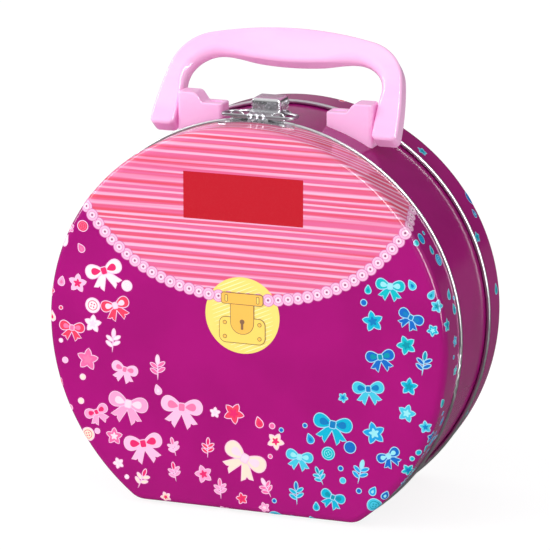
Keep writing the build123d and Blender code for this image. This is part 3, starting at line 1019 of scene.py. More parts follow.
class PrintLayer:
    """Flat printed figures on one drawn sheet, gathered into one thin closed mesh."""

    edge_margin = 0.2
    bend_pitch = 1.2
    first_lift = 0.075
    level_lift = 0.03
    stagger_lift = 0.004
    stagger_count = 6

    def __init__(self, name: str, sheet: DrawnSheet) -> None:
        """Starts an empty layer.

        Args:
            name: Name of the piece it becomes.
            sheet: The sheet it is printed on.
        """
        self.name = name
        self.sheet = sheet
        self.places: list[np.ndarray] = []
        self.faces: list[list[int]] = []
        self.colours: list[np.ndarray] = []
        self.count = 0

    def stamp(
        self,
        shape: np.ndarray,
        colour: Colour,
        middle: Place,
        size: float = 1.0,
        turn: float = 0.0,
        level: int = 0,
    ) -> None:
        """Prints one figure, a hair higher or lower than the one before it.

        Args:
            shape: Its outline, corner by corner anticlockwise.
            colour: Its ink.
            middle: Place of its middle on the flat sheet.
            size: Scale of the outline.
            turn: Angle that it is turned by, in degrees.
            level: Number of inks under it.
        """
        angle = math.radians(turn)
        turning = np.array(
            ((math.cos(angle), math.sin(angle)), (-math.sin(angle), math.cos(angle)))
        )
        flat = shape @ turning * size + np.array(middle)
        least_inset = self.sheet.outline.inset_of(flat)[0].min()
        on_face = least_inset > self.sheet.edge_inset + self.edge_margin
        span = float(np.ptp(flat, axis=0).max())
        rings = 1 if on_face else max(2, math.ceil(span / self.bend_pitch))
        step = self.stagger_lift * (len(self.colours) % self.stagger_count)
        self.add_patch(flat, rings, self.first_lift + self.level_lift * level + step, colour)

    def add_patch(self, flat: np.ndarray, rings: int, lift: float, colour: Colour) -> None:
        """Adds a closed patch: a fan of rings on top, the same below, and a side.

        Args:
            flat: Its outline on the flat sheet.
            rings: Number of rings, which lets it follow a bend.
            lift: Height of its top over the bare surface.
            colour: Its ink.
        """
        corners = len(flat)
        middle = flat.mean(axis=0)
        shares = np.linspace(0, 1, rings + 1)[1:]
        spread = np.concatenate(
            [middle[None, :]] + [middle + (flat - middle) * share for share in shares]
        )
        start, low = self.count, self.count + len(spread)
        self.places += [self.sheet.place(spread, lift), self.sheet.place(spread, 0.0)]
        for base, turned in ((start, False), (low, True)):
            for k in range(corners):
                after = (k + 1) % corners
                self.face([base, base + 1 + k, base + 1 + after], turned)
                for ring in range(rings - 1):
                    inner = base + 1 + ring * corners
                    outer = inner + corners
                    self.face([inner + k, outer + k, outer + after, inner + after], turned)
        top_rim, low_rim = (base + 1 + (rings - 1) * corners for base in (start, low))
        for k in range(corners):
            after = (k + 1) % corners
            self.face([top_rim + k, low_rim + k, low_rim + after, top_rim + after], False)
        self.count += 2 * len(spread)
        self.colours.append(np.tile(np.array(colour, np.float32), (2 * len(spread), 1)))

    def face(self, corners: list[int], turned: bool) -> None:
        """Adds one face, turned over when asked or on the back sheet."""
        over = turned != (self.sheet.side is Side.BACK)
        self.faces.append(corners[::-1] if over else corners)

    def build(self) -> bpy.types.Object:
        """Makes the layer's mesh.

        Returns:
            The piece, with its inks as a colour attribute.
        """
        mesh = bpy.data.meshes.new(self.name)
        places = np.concatenate(self.places) * MM
        mesh.from_pydata(places.tolist(), [], self.faces)
        layer = mesh.attributes.new(INK, "FLOAT_COLOR", "POINT")
        layer.data.foreach_set("color", np.concatenate(self.colours).ravel())
        piece = bpy.data.objects.new(self.name, mesh)
        bpy.context.scene.collection.objects.link(piece)
        mesh.validate()
        mesh.update()
        return piece


@dataclass(frozen=True)
class Inks:
    """Inks of one family of printed figures."""

    halo: Colour
    bodies: tuple[Colour, ...]
    details: tuple[Colour, ...]


WARM_INKS = Inks(
    halo=ink(252, 196, 230),
    bodies=(ink(242, 105, 165), ink(251, 232, 238), ink(253, 226, 206), ink(236, 62, 98),
            ink(249, 160, 205), ink(244, 190, 224)),
    details=(ink(232, 40, 110), ink(246, 120, 170), ink(252, 216, 232)),
)
COOL_INKS = Inks(
    halo=ink(158, 216, 240),
    bodies=(ink(0, 178, 210), ink(20, 158, 220), ink(0, 186, 196), ink(64, 196, 222),
            ink(18, 104, 196)),
    details=(ink(12, 124, 190), ink(150, 228, 236), ink(0, 148, 170)),
)


class Figure(Enum):
    """Kinds of printed figures."""

    BOW = "bow"
    STAR = "star"
    SPRIG = "sprig"
    BUTTON = "button"
    DROP = "drop"
    DOT = "dot"


@dataclass
class FigurePrinter:
    """Draws one figure on a layer, part by part in the figure's own frame."""

    layer: PrintLayer
    middle: Place
    size: float = 1.0
    turn: float = 0.0
    line: float = 0.42

    def part(
        self,
        shape: np.ndarray,
        colour: Colour,
        place: Place = (0.0, 0.0),
        size: float = 1.0,
        turn: float = 0.0,
        level: int = 0,
    ) -> None:
        """Prints one part of the figure.

        Args:
            shape: Its outline.
            colour: Its ink.
            place: Place of its middle in the figure.
            size: Scale of the outline.
            turn: Angle that it is turned by, in degrees.
            level: Number of inks under it.
        """
        angle = math.radians(self.turn)
        x = place[0] * math.cos(angle) - place[1] * math.sin(angle)
        z = place[0] * math.sin(angle) + place[1] * math.cos(angle)
        middle = (self.middle[0] + x * self.size, self.middle[1] + z * self.size)
        self.layer.stamp(shape, colour, middle, size * self.size, turn + self.turn, level)

    def lined(
        self,
        shape: np.ndarray,
        inks: tuple[Colour, Colour],
        place: Place = (0.0, 0.0),
        size: float = 1.0,
        turn: float = 0.0,
        level: int = 0,
    ) -> None:
        """Prints a part over a slightly larger one, which shows as a line round it.

        Args:
            shape: Its outline.
            inks: The part's ink and the line's ink.
            place: Place of its middle in the figure.
            size: Scale of the outline.
            turn: Angle that it is turned by, in degrees.
            level: Number of inks under the line.
        """
        wide = Shape.wider(shape, self.line / (size * self.size))
        self.part(wide, inks[1], place, size, turn, level)
        self.part(shape, inks[0], place, size, turn, level + 1)

    def scattered(self, kind: Figure, inks: Inks, draw: random.Random) -> None:
        """Prints one figure in inks drawn from its family.

        Args:
            kind: What it shows.
            inks: The family of inks.
            draw: The source of chance.
        """
        body, detail = draw.choice(inks.bodies), draw.choice(inks.details)
        pair = (body, inks.halo)
        if kind is Figure.BOW:
            self.bow(pair, detail)
        elif kind is Figure.STAR:
            self.lined(Shape.star(), pair)
            self.part(Shape.star(), detail, size=0.5, level=2)
        elif kind is Figure.SPRIG:
            self.sprig(pair, detail)
        elif kind is Figure.BUTTON:
            self.button(pair, detail)
        elif kind is Figure.DROP:
            self.lined(Shape.drop(), pair)
            self.part(Shape.drop(16), detail, place=(0.0, -0.16), size=0.45, level=2)
        else:
            self.lined(Shape.disc(18), pair)

    def bow(self, pair: tuple[Colour, Colour], detail: Colour) -> None:
        """A tied ribbon bow: two tails, two loops and a knot.

        Args:
            pair: Inks of the ribbon and of the line round it.
            detail: Ink of the knot and of the loops' insides.
        """
        for side in SIDES:
            self.lined(Shape.tail(), pair, place=(side * 0.3, -0.42), size=0.95, turn=side * 34)
        for side in SIDES:
            turn = side * 98
            self.lined(Shape.drop(32), pair, (side * 0.5, 0.12), size=0.52, turn=turn, level=2)
            self.part(Shape.drop(20), detail, (side * 0.44, 0.11), size=0.28, turn=turn, level=4)
        knot = Shape.box(width=0.15, height=0.18, corner=0.07)
        self.lined(knot, (detail, pair[1]), place=(0, 0.05), level=5)

    def sprig(self, pair: tuple[Colour, Colour], detail: Colour) -> None:
        """A twig with five leaves.

        Args:
            pair: Inks of the leaves and of the lines.
            detail: Ink of the leaf at the tip.
        """
        self.part(Shape.leaf(width=0.07), pair[1], place=(0, -0.15), size=0.85)
        for side, level in ((-1, -0.45), (1, -0.3), (-1, 0.0), (1, 0.15)):
            place = (side * 0.3, level + 0.14)
            self.lined(Shape.leaf(), pair, place, size=0.32, turn=side * -58)
        self.lined(Shape.leaf(), (detail, pair[1]), place=(0, 0.62), size=0.36)

    def button(self, pair: tuple[Colour, Colour], detail: Colour) -> None:
        """A sewing button with four holes.

        Args:
            pair: Inks of the button and of the line round it.
            detail: Ink of its groove and holes.
        """
        self.lined(Shape.disc(), pair)
        self.part(Shape.disc(), detail, size=0.72, level=2)
        self.part(Shape.disc(), pair[0], size=0.62, level=3)
        for x in (-0.2, 0.2):
            for z in (-0.2, 0.2):
                self.part(Shape.disc(10), detail, place=(x, z), size=0.11, level=4)


@dataclass(frozen=True)
class FigureSize:
    """How many of one kind of figure are scattered, and how large."""

    kind: Figure
    count: int
    smallest: float
    largest: float
    on_wall: bool = False


LID_FIGURES = (
    FigureSize(Figure.BOW, 6, 9.0, 11.0),
    FigureSize(Figure.BOW, 11, 5.6, 7.4),
    FigureSize(Figure.STAR, 12, 4.0, 5.4),
    FigureSize(Figure.SPRIG, 12, 4.6, 6.2),
    FigureSize(Figure.BUTTON, 22, 2.4, 3.6, on_wall=True),
    FigureSize(Figure.STAR, 30, 2.2, 3.2, on_wall=True),
    FigureSize(Figure.DROP, 36, 1.8, 2.8, on_wall=True),
    FigureSize(Figure.DOT, 40, 0.7, 1.3, on_wall=True),
)
BACK_FIGURES = (
    FigureSize(Figure.BOW, 10, 6.0, 9.0),
    FigureSize(Figure.STAR, 10, 4.2, 6.2),
    FigureSize(Figure.SPRIG, 12, 5.0, 7.0),
    FigureSize(Figure.BUTTON, 16, 2.4, 3.6, on_wall=True),
    FigureSize(Figure.STAR, 24, 2.2, 3.4, on_wall=True),
    FigureSize(Figure.DROP, 24, 2.0, 3.2, on_wall=True),
    FigureSize(Figure.DOT, 36, 0.7, 1.4, on_wall=True),
)


@dataclass
class Garland:
    """Figures scattered in a band along the outline of a printed sheet, a deeper band low down.

    On a sheet with a flap they stay below the flap's trim and clear of its lock.
    """

    sheet: DrawnSheet
    name: str
    seed: int
    sizes: tuple[FigureSize, ...]
    depth: float = 40.0
    low_depth: float = 14.0
    low_level: float = 70.0
    gap: float = 0.9
    edge_gap: float = 0.6
    flap: StripedFlap | None = None
    trim_gap: float = 5.0
    trim_ease: float = 0.25
    lock_clear: float = 24.0
    greatest_turn: float = 35.0
    seam_foot: float = 14.0
    seam_slope: float = 0.1
    tries: int = 4000

    def free(self, x: float, z: float, radius: float, on_wall: bool) -> bool:
        """Whether a figure may stand at a place on the sheet.

        Args:
            x: Distance across the sheet.
            z: Level on the sheet.
            radius: Radius of the figure.
            on_wall: Whether it may run over the rounding and the wall.

        Returns:
            True where the sheet is free for it, apart from other figures.
        """
        inset = float(self.sheet.outline.inset_of(np.array(((x, z),)))[0][0])
        edge = self.sheet.end_inset if on_wall else self.sheet.edge_inset
        deepest = self.depth + self.low_depth * (z < self.low_level)
        if inset - radius < edge + self.edge_gap or inset > deepest:
            return False
        if self.flap is None:
            return True
        over = z + radius > self.flap.edge(abs(x)) - self.trim_gap + self.trim_ease * radius
        return not over and math.dist((x, z), LOCK_MIDDLE) > radius + self.lock_clear

    def build(self, material: bpy.types.Material, body: Body, slot: Slot) -> None:
        """Scatters the figures from large to small and prints them.

        Args:
            material: The ink.
            body: The body that carries the sheet.
            slot: The record's slot for the sheet.
        """
        draw = random.Random(self.seed)
        layer = PrintLayer(self.name, self.sheet)
        taken: list[Triple] = []
        reach = self.sheet.reach()
        for row in self.sizes:
            made = 0
            for _ in range(self.tries):
                if made == row.count:
                    break
                radius = draw.uniform(row.smallest, row.largest)
                x = draw.uniform(-reach, reach)
                z = self.sheet.outline.crown_height + draw.uniform(-reach, reach)
                near = any(math.dist((x, z), (a, b)) < radius + r + self.gap
                           for a, b, r in taken)
                if near or not self.free(x, z, radius, row.on_wall):
                    continue
                taken.append((x, z, radius))
                made += 1
                turn = draw.uniform(-self.greatest_turn, self.greatest_turn)
                inks = WARM_INKS if x < self.seam_foot + self.seam_slope * z else COOL_INKS
                FigurePrinter(layer, (x, z), radius, turn).scattered(row.kind, inks, draw)
            log.info("%s: %d of %s", self.name, made, row.kind.value)
        Workshop.dress(layer.build(), body, slot, material)


@dataclass
class Shells:
    """The front lid, the back shell and the band between them."""

    outline: TinOutline
    lid_sheet: DrawnSheet
    back_sheet: DrawnSheet
    band_inset: float = 2.3
    band_front: float = -28.9
    band_back: float = 23.9
    band_steps: int = 10

    def build(self) -> None:
        """Makes the paint films and finishes the bare tinplate."""
        tin = TINPLATE.material()
        for name in ("front_lid", "back_shell", "body_band"):
            Workshop.dress_node(name, tin)
        lid = PaintFilm(self.lid_sheet, "lid_paint_film").build()
        Workshop.dress(lid, Body.LID, Slot.LID_PAINT, FLAP.material())
        paint = BODY_PAINT.material()
        back = PaintFilm(self.back_sheet, "back_paint_film").build()
        Workshop.dress(back, Body.TUB, Slot.BODY_PAINT, paint)
        Workshop.dress(self.band_film(), Body.TUB, Slot.BODY_PAINT, paint)

    def band_film(self) -> bpy.types.Object:
        """Makes the paint on the outside of the band.

        Returns:
            The film.
        """
        stations = self.outline.stations()
        depths = np.linspace(self.band_front, self.band_back, self.band_steps)
        lines = [(self.band_inset - FILM_THICKNESS, y) for y in depths]
        lines += [(self.band_inset + FILM_SUNK, y) for y in depths[::-1]]
        rings = []
        for inset, y in lines:
            flat = stations[:, :2] - inset * stations[:, 2:]
            rings.append(in_rows(flat[:, 0], np.full(len(flat), y), flat[:, 1]))
        piece = Workshop.extrude_rings("band_paint_film", rings, capped=False)
        Workshop.finish_faces(piece)
        Workshop.drop_marks(piece)
        return piece


@dataclass
class FlapPrint:
    """What is printed on the lid's flap: its drawn lock, its scalloped trim and its label."""

    sheet: DrawnSheet
    label_middle: Place = (-0.1, 153.25)
    label_half: Pair = (29.5, 11.15)
    label_corner: float = 0.25
    bead_pitch: float = 4.9
    bead_radius: float = 3.05
    bead_inks: tuple[tuple[float, Colour], ...] = (
        (1.0, ink(214, 120, 180)), (0.9, ink(243, 186, 220)), (0.6, ink(224, 150, 196)),
        (0.5, ink(249, 214, 234)), (0.18, ink(160, 84, 128)),
    )
    search_half: float = 118.0
    search_steps: int = 4001
    lock_radius: float = 18.4
    lock_line: float = 0.3
    hatch_turn: float = 24.0
    hatch_pitch: float = 1.85
    hatch_rows: int = 9
    hatch_share: float = 0.8
    hatch_half_width: float = 0.24
    yellow: Colour = ink(247, 222, 118)
    cream: Colour = ink(253, 240, 178)
    gold: Colour = ink(247, 214, 104)
    amber: Colour = ink(246, 190, 86)
    brown: Colour = ink(142, 104, 78)

    def build(self, material: bpy.types.Material) -> None:
        """Prints the lock, the trim and the label."""
        for layer in (self.lock(), self.trim(), self.label()):
            Workshop.dress(layer.build(), Body.LID, Slot.LID_PAINT, material)

    def label(self) -> PrintLayer:
        """A bare red label on the stripes.

        Returns:
            Its layer.
        """
        layer = PrintLayer("red_label", self.sheet)
        shape = Shape.box(*self.label_half, self.label_corner)
        layer.stamp(shape, LABEL_RED, self.label_middle, level=1)
        return layer

    def hatch(self, layer: PrintLayer) -> None:
        """Draws slanting crayon strokes over the disc.

        Args:
            layer: The lock's layer.
        """
        angle = math.radians(self.hatch_turn)
        for number in range(-self.hatch_rows, self.hatch_rows + 1):
            aside = number * self.hatch_pitch
            half = math.sqrt(self.lock_radius**2 - aside**2) * self.hatch_share
            middle = (LOCK_MIDDLE[0] - aside * math.sin(angle),
                      LOCK_MIDDLE[1] + aside * math.cos(angle))
            stroke = Shape.oval(half, self.hatch_half_width, corners=20)
            layer.stamp(stroke, self.cream, middle, turn=self.hatch_turn, level=1)

    def lock(self) -> PrintLayer:
        """A yellow disc with a drawn strap lock: plate, rivets, strap, bar, slots and keyhole.

        Returns:
            Its layer.
        """
        layer = PrintLayer("drawn_lock", self.sheet)
        layer.stamp(Shape.disc(96), self.yellow, LOCK_MIDDLE, self.lock_radius)
        self.hatch(layer)
        printer = FigurePrinter(layer, LOCK_MIDDLE, line=self.lock_line)
        gold, amber = (self.gold, self.brown), (self.amber, self.brown)
        plate = Shape.box(width=11.2, height=6.0, corner=3.0, steps=7)
        strap = Shape.box(width=5.6, height=9.6, corner=5.4, steps=9)
        bar = Shape.box(width=10.2, height=2.5, corner=1.2, steps=5)
        slot = Shape.box(width=0.5, height=1.5, corner=0.3, steps=4)
        keyway = Shape.box(width=0.6, height=1.9, corner=0.4, steps=5)
        printer.lined(plate, gold, place=(0, -7.2), level=9)
        for side in SIDES:
            for height in (-10.6, -3.8):
                printer.lined(Shape.disc(14), amber, (side * 8.6, height), size=0.75, level=11)
        printer.lined(strap, amber, place=(0, 0.8), level=11)
        printer.lined(bar, amber, place=(0, 8.0), level=13)
        for side in SIDES:
            printer.lined(slot, gold, place=(side * 7.8, 8.0), level=15)
        printer.part(Shape.disc(18), self.brown, place=(0, -3.0), size=1.2, level=13)
        printer.part(keyway, self.brown, place=(0, -4.9), level=14)
        return layer

    def bead_places(self) -> list[Place]:
        """Places of the trim's beads, evenly along the flap's edge, over rounding and wall.

        Returns:
            The middles on the flat sheet.
        """
        across = np.linspace(-self.search_half, self.search_half, self.search_steps)
        line = in_rows(across, FLAP.edge(across))
        insets = self.sheet.outline.inset_of(line)[0]
        line = line[insets > self.sheet.end_inset + self.bead_radius]
        steps = np.linalg.norm(np.diff(line, axis=0), axis=1)
        run = np.concatenate(([0.0], np.cumsum(steps)))
        marks = np.linspace(0, run[-1], int(run[-1] // self.bead_pitch) + 1)
        return [(float(np.interp(mark, run, line[:, 0])), float(np.interp(mark, run, line[:, 1])))
                for mark in marks]

    def trim(self) -> PrintLayer:
        """A row of pale beads with a ring and a pearl in each, every other one on top.

        Returns:
            Its layer.
        """
        layer = PrintLayer("scalloped_trim", self.sheet)
        for number, middle in enumerate(self.bead_places()):
            level = 1 + 2 * (number % 2)
            for ring, (share, colour) in enumerate(self.bead_inks):
                size = self.bead_radius * share
                layer.stamp(Shape.disc(26), colour, middle, size, level=level + ring)
        return layer


@dataclass(frozen=True)
class Arc:
    """One arc of a flat outline, from start to end in degrees about its centre."""

    centre: Place
    radius: float
    start: float
    end: float
    solid: bool = True

    def places(self, spacing: float) -> tuple[np.ndarray, np.ndarray]:
        """Samples the arc.

        Args:
            spacing: Distance between samples.

        Returns:
            Places, and normals that point out of the material.
        """
        length = abs(math.radians(self.end - self.start)) * self.radius
        steps = max(3, math.ceil(length / spacing))
        angle = np.radians(np.linspace(self.start, self.end, steps, endpoint=False))
        away = np.stack((np.cos(angle), np.sin(angle)), axis=1)
        return np.array(self.centre) + away * self.radius, away if self.solid else -away


@dataclass(frozen=True)
class Line:
    """One straight run of a flat outline, with the normal that points out of the material."""

    start: Place
    end: Place
    normal: Place

    def places(self, spacing: float) -> tuple[np.ndarray, np.ndarray]:
        """Samples the line, without its end.

        Args:
            spacing: Distance between samples.

        Returns:
            Places and normals.
        """
        (x, z), (end_x, end_z) = self.start, self.end
        steps = max(2, math.ceil(math.hypot(end_x - x, end_z - z) / spacing))
        share = np.linspace(0, 1, steps, endpoint=False)[:, None]
        places = np.array(self.start) * (1 - share) + np.array(self.end) * share
        return places, np.tile(np.array(self.normal), (steps, 1))


def bearing(centre: Place, place: Place) -> float:
    """Angle of a place about a centre, in degrees."""
    return math.degrees(math.atan2(place[1] - centre[1], place[0] - centre[0]))


def meeting(first: Place, first_radius: float, second: Place, second_radius: float) -> Place:
    """Finds where two circles meet.

    Args:
        first: Centre of one circle.
        first_radius: Its radius.
        second: Centre of the other.
        second_radius: Its radius.

    Returns:
        The meeting place further to the right.
    """
    gap = math.dist(first, second)
    along = (first_radius**2 - second_radius**2 + gap**2) / (2 * gap)
    aside = math.sqrt(first_radius**2 - along**2)
    ux, uz = (second[0] - first[0]) / gap, (second[1] - first[1]) / gap
    base = (first[0] + ux * along, first[1] + uz * along)
    options = [(base[0] - uz * s * aside, base[1] + ux * s * aside) for s in SIDES]
    return max(options, key=lambda place: place[0])


@dataclass
class Handle:
    """The moulded grip with its two legs, drawn in its own leaning plane."""

    pivot: Place = (1.5, 182.6438)
    lean: float = 37.0
    top: float = 45.3
    top_radius: float = 177.0
    corner: float = 23.4
    shoulder: float = 54.6
    waist: Place = (61.4, 0.0)
    foot: Place = (61.7, -9.4)
    foot_corner: float = 3.0
    leg_inner: float = 49.2
    inner_corner: float = 15.8
    underside: float = 27.6
    belly_radius: float = 150.0
    belly_half_width: float = 23.5
    half_thickness: float = 5.0
    outer_edge: float = 1.7
    foot_edge: float = 1.6
    bend_edge: float = 4.2
    belly_edge: float = 2.2
    spacing: float = 0.9
    ease_width: int = 17
    edge_steps: int = 9
    smooth_angle: float = 40.0
    boss_radius: float = 2.5
    boss_length: float = 5.0
    boss_overlap: float = 1.0
    boss_bevel: float = 0.4
    boss_corners: int = 40

    @property
    def foot_level(self) -> float:
        """Level of the centres of the foot's rounded corners."""
        return self.foot[1] + self.foot_corner

    def side_arc(self) -> tuple[Place, float]:
        """The arc down the outside of a leg, through shoulder, waist and foot.

        Returns:
            Its centre and its radius.
        """
        level = self.top - self.top_radius + math.sqrt(self.top_radius**2 - self.shoulder**2)
        corners = ((self.shoulder, level), self.waist, self.foot)
        (ax, az), (bx, bz), (cx, cz) = corners
        double = 2 * (ax * (bz - cz) + bx * (cz - az) + cx * (az - bz))
        squares = [x * x + z * z for x, z in corners]
        x = (squares[0] * (bz - cz) + squares[1] * (cz - az) + squares[2] * (az - bz)) / double
        z = (squares[0] * (cx - bx) + squares[1] * (ax - cx) + squares[2] * (bx - ax)) / double
        return (x, z), math.hypot(ax - x, az - z)

    def outer_runs(self) -> list[tuple[Arc | Line, float]]:
        """Runs from the top's middle clockwise to the bottom of the foot.

        Returns:
            Each run with the rounding of its edge.
        """
        top_centre = (0.0, self.top - self.top_radius)
        side_centre, side_radius = self.side_arc()
        corner = meeting(top_centre, self.top_radius - self.corner,
                         side_centre, side_radius - self.corner)
        corner_start = bearing(top_centre, corner)
        corner_end = bearing(side_centre, corner)
        reach = side_radius - self.foot_corner
        foot_x = side_centre[0] + math.sqrt(reach**2 - (self.foot_level - side_centre[1]) ** 2)
        outer_foot = (foot_x, self.foot_level)
        foot_start = bearing(side_centre, outer_foot)
        bottom = Line((foot_x, self.foot[1]), (self.leg_inner + self.foot_corner, self.foot[1]),
                      (0.0, -1.0))
        return [
            (Arc(top_centre, self.top_radius, 90, corner_start), self.outer_edge),
            (Arc(corner, self.corner, corner_start, corner_end), self.outer_edge),
            (Arc(side_centre, side_radius, corner_end, foot_start), self.outer_edge),
            (Arc(outer_foot, self.foot_corner, foot_start, -90), self.foot_edge),
            (bottom, self.foot_edge),
        ]

    def inner_runs(self) -> list[tuple[Arc | Line, float]]:
        """Runs from the inside of the foot round the finger gap to the belly's middle.

        Returns:
            Each run with the rounding of its edge.
        """
        belly = math.degrees(math.asin(self.belly_half_width / self.belly_radius))
        flat = self.leg_inner - self.inner_corner
        hollow = flat / math.sin(math.radians(belly)) - self.belly_radius
        rise = (self.belly_radius + hollow) * (1 - math.cos(math.radians(belly)))
        hollow_top = self.underside + rise
        inner_level = hollow_top - self.inner_corner
        inner_foot = (self.leg_inner + self.foot_corner, self.foot_level)
        inside = Line((self.leg_inner, self.foot_level), (self.leg_inner, inner_level),
                      (-1.0, 0.0))
        return [
            (Arc(inner_foot, self.foot_corner, -90, -180), self.foot_edge),
            (inside, self.foot_edge),
            (Arc((flat, inner_level), self.inner_corner, 0, 90, False), self.bend_edge),
            (Arc((flat, hollow_top - hollow), hollow, 90, 90 + belly, False), self.bend_edge),
            (Arc((0.0, self.underside + self.belly_radius), self.belly_radius,
                 -90 + belly, -90), self.belly_edge),
        ]

    def outline(self) -> tuple[np.ndarray, np.ndarray, np.ndarray]:
        """The whole outline, whose edge rounding eases from one run into the next.

        Returns:
            Places, normals and edge roundings.
        """
        runs = [(*run.places(self.spacing), edge) for run, edge in
                self.outer_runs() + self.inner_runs()]
        places = np.concatenate([places for places, _, _ in runs])
        normals = np.concatenate([normals for _, normals, _ in runs])
        edges = np.concatenate([np.full(len(places), edge) for places, _, edge in runs])
        flip = np.array((-1.0, 1.0))
        places = np.concatenate((places, ((0.0, self.underside),), places[:0:-1] * flip))
        normals = np.concatenate((normals, ((0.0, -1.0),), normals[:0:-1] * flip))
        edges = np.concatenate((edges, (self.belly_edge,), edges[:0:-1]))
        wide = self.ease_width
        padded = np.concatenate((edges[-wide:], edges, edges[:wide]))
        eased = np.convolve(padded, np.ones(wide) / wide, "same")[wide:-wide]
        feet = edges <= self.foot_edge
        limit = np.where(feet & (places[:, 1] < 0), self.foot_edge, self.bend_edge)
        return places, normals, np.minimum(eased, limit)

    def to_tin(self, flat: np.ndarray, depth: np.ndarray) -> np.ndarray:
        """Carries places in the handle's plane to the tin.

        Args:
            flat: Rows of distance across and along the handle.
            depth: Distance of each from the handle's middle plane, towards the front.

        Returns:
            Rows of x, y and z, in millimetres.
        """
        lean = math.radians(self.lean)
        y, z = self.pivot
        return in_rows(
            flat[:, 0],
            y + flat[:, 1] * math.sin(lean) - depth * math.cos(lean),
            z + flat[:, 1] * math.cos(lean) + depth * math.sin(lean),
        )

    def build(self, material: bpy.types.Material) -> None:
        """Makes the grip and its bosses.

        Args:
            material: The moulded plastic.
        """
        places, normals, edges = self.outline()
        rings = []
        for angle in np.radians(np.linspace(-90, 0, self.edge_steps)):
            inset = edges * (1 - math.cos(angle))
            depth = -(self.half_thickness - edges) + edges * math.sin(angle)
            rings.append((places - inset[:, None] * normals, depth))
        rings += [(flat, -depth) for flat, depth in rings[::-1]]
        tin_rings = [self.to_tin(flat, depth) for flat, depth in rings]
        grip = Workshop.extrude_rings("handle_grip", tin_rings, capped=True)
        Workshop.drop_marks(grip)
        Workshop.finish_faces(grip, self.smooth_angle)
        for side in SIDES:
            self.add_boss(grip, side)
        Workshop.apply(grip, "WEIGHTED_NORMAL", keep_sharp=True)
        Workshop.dress(grip, Body.HANDLE, Slot.PLASTIC, material)
        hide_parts("handle")

    def add_boss(self, grip: bpy.types.Object, side: int) -> None:
        """Joins one round boss to the inside of a leg.

        Args:
            grip: The grip.
            side: -1 for the left leg and 1 for the right.
        """
        Workshop.select_none()
        length = self.boss_length + self.boss_overlap
        middle = side * (self.leg_inner + self.boss_overlap - length / 2)
        bpy.ops.mesh.primitive_cylinder_add(
            vertices=self.boss_corners, radius=self.boss_radius * MM, depth=length * MM,
            location=(middle * MM, self.pivot[0] * MM, self.pivot[1] * MM),
            rotation=(0, math.pi / 2, 0),
        )
        boss = bpy.context.object
        bpy.ops.object.transform_apply(location=True, rotation=True, scale=True)
        Workshop.apply(boss, "BEVEL", width=self.boss_bevel * MM, segments=3,
                       limit_method="ANGLE")
        bpy.ops.object.shade_smooth_by_angle(angle=math.radians(self.smooth_angle))
        grip.select_set(True)
        bpy.context.view_layer.objects.active = grip
        bpy.ops.object.join()


@dataclass
class Fittings:
    """Brackets, latch, hinge and fasteners, which keep their CAD shapes."""

    def build(self, plastic: bpy.types.Material) -> None:
        """Finishes each fitting and adds the latch's trim.

        Args:
            plastic: The moulded plastic of the handle.
        """
        chrome, wire = LATCH_PLATING.material(), WIRE_PLATING.material()
        finishes = {
            plastic: ("bracket_left", "bracket_right"),
            chrome: ("latch_base", "latch_lever", "lid_catch"),
            wire: ("latch_bail", "hinge_pin"),
            PLAIN_STEEL.material(): ("hinge_strap_left", "hinge_strap_right",
                                     "backing_plate_left", "backing_plate_right"),
            RIVET_STEEL.material(): ("hinge_strap_rivets", "bracket_screws_left",
                                     "bracket_screws_right", "latch_base_rivets", "lever_pin",
                                     "lid_catch_rivets"),
        }
        for material, names in finishes.items():
            for name in names:
                Workshop.dress_node(name, material)
        LatchTrim().build(wire, chrome)


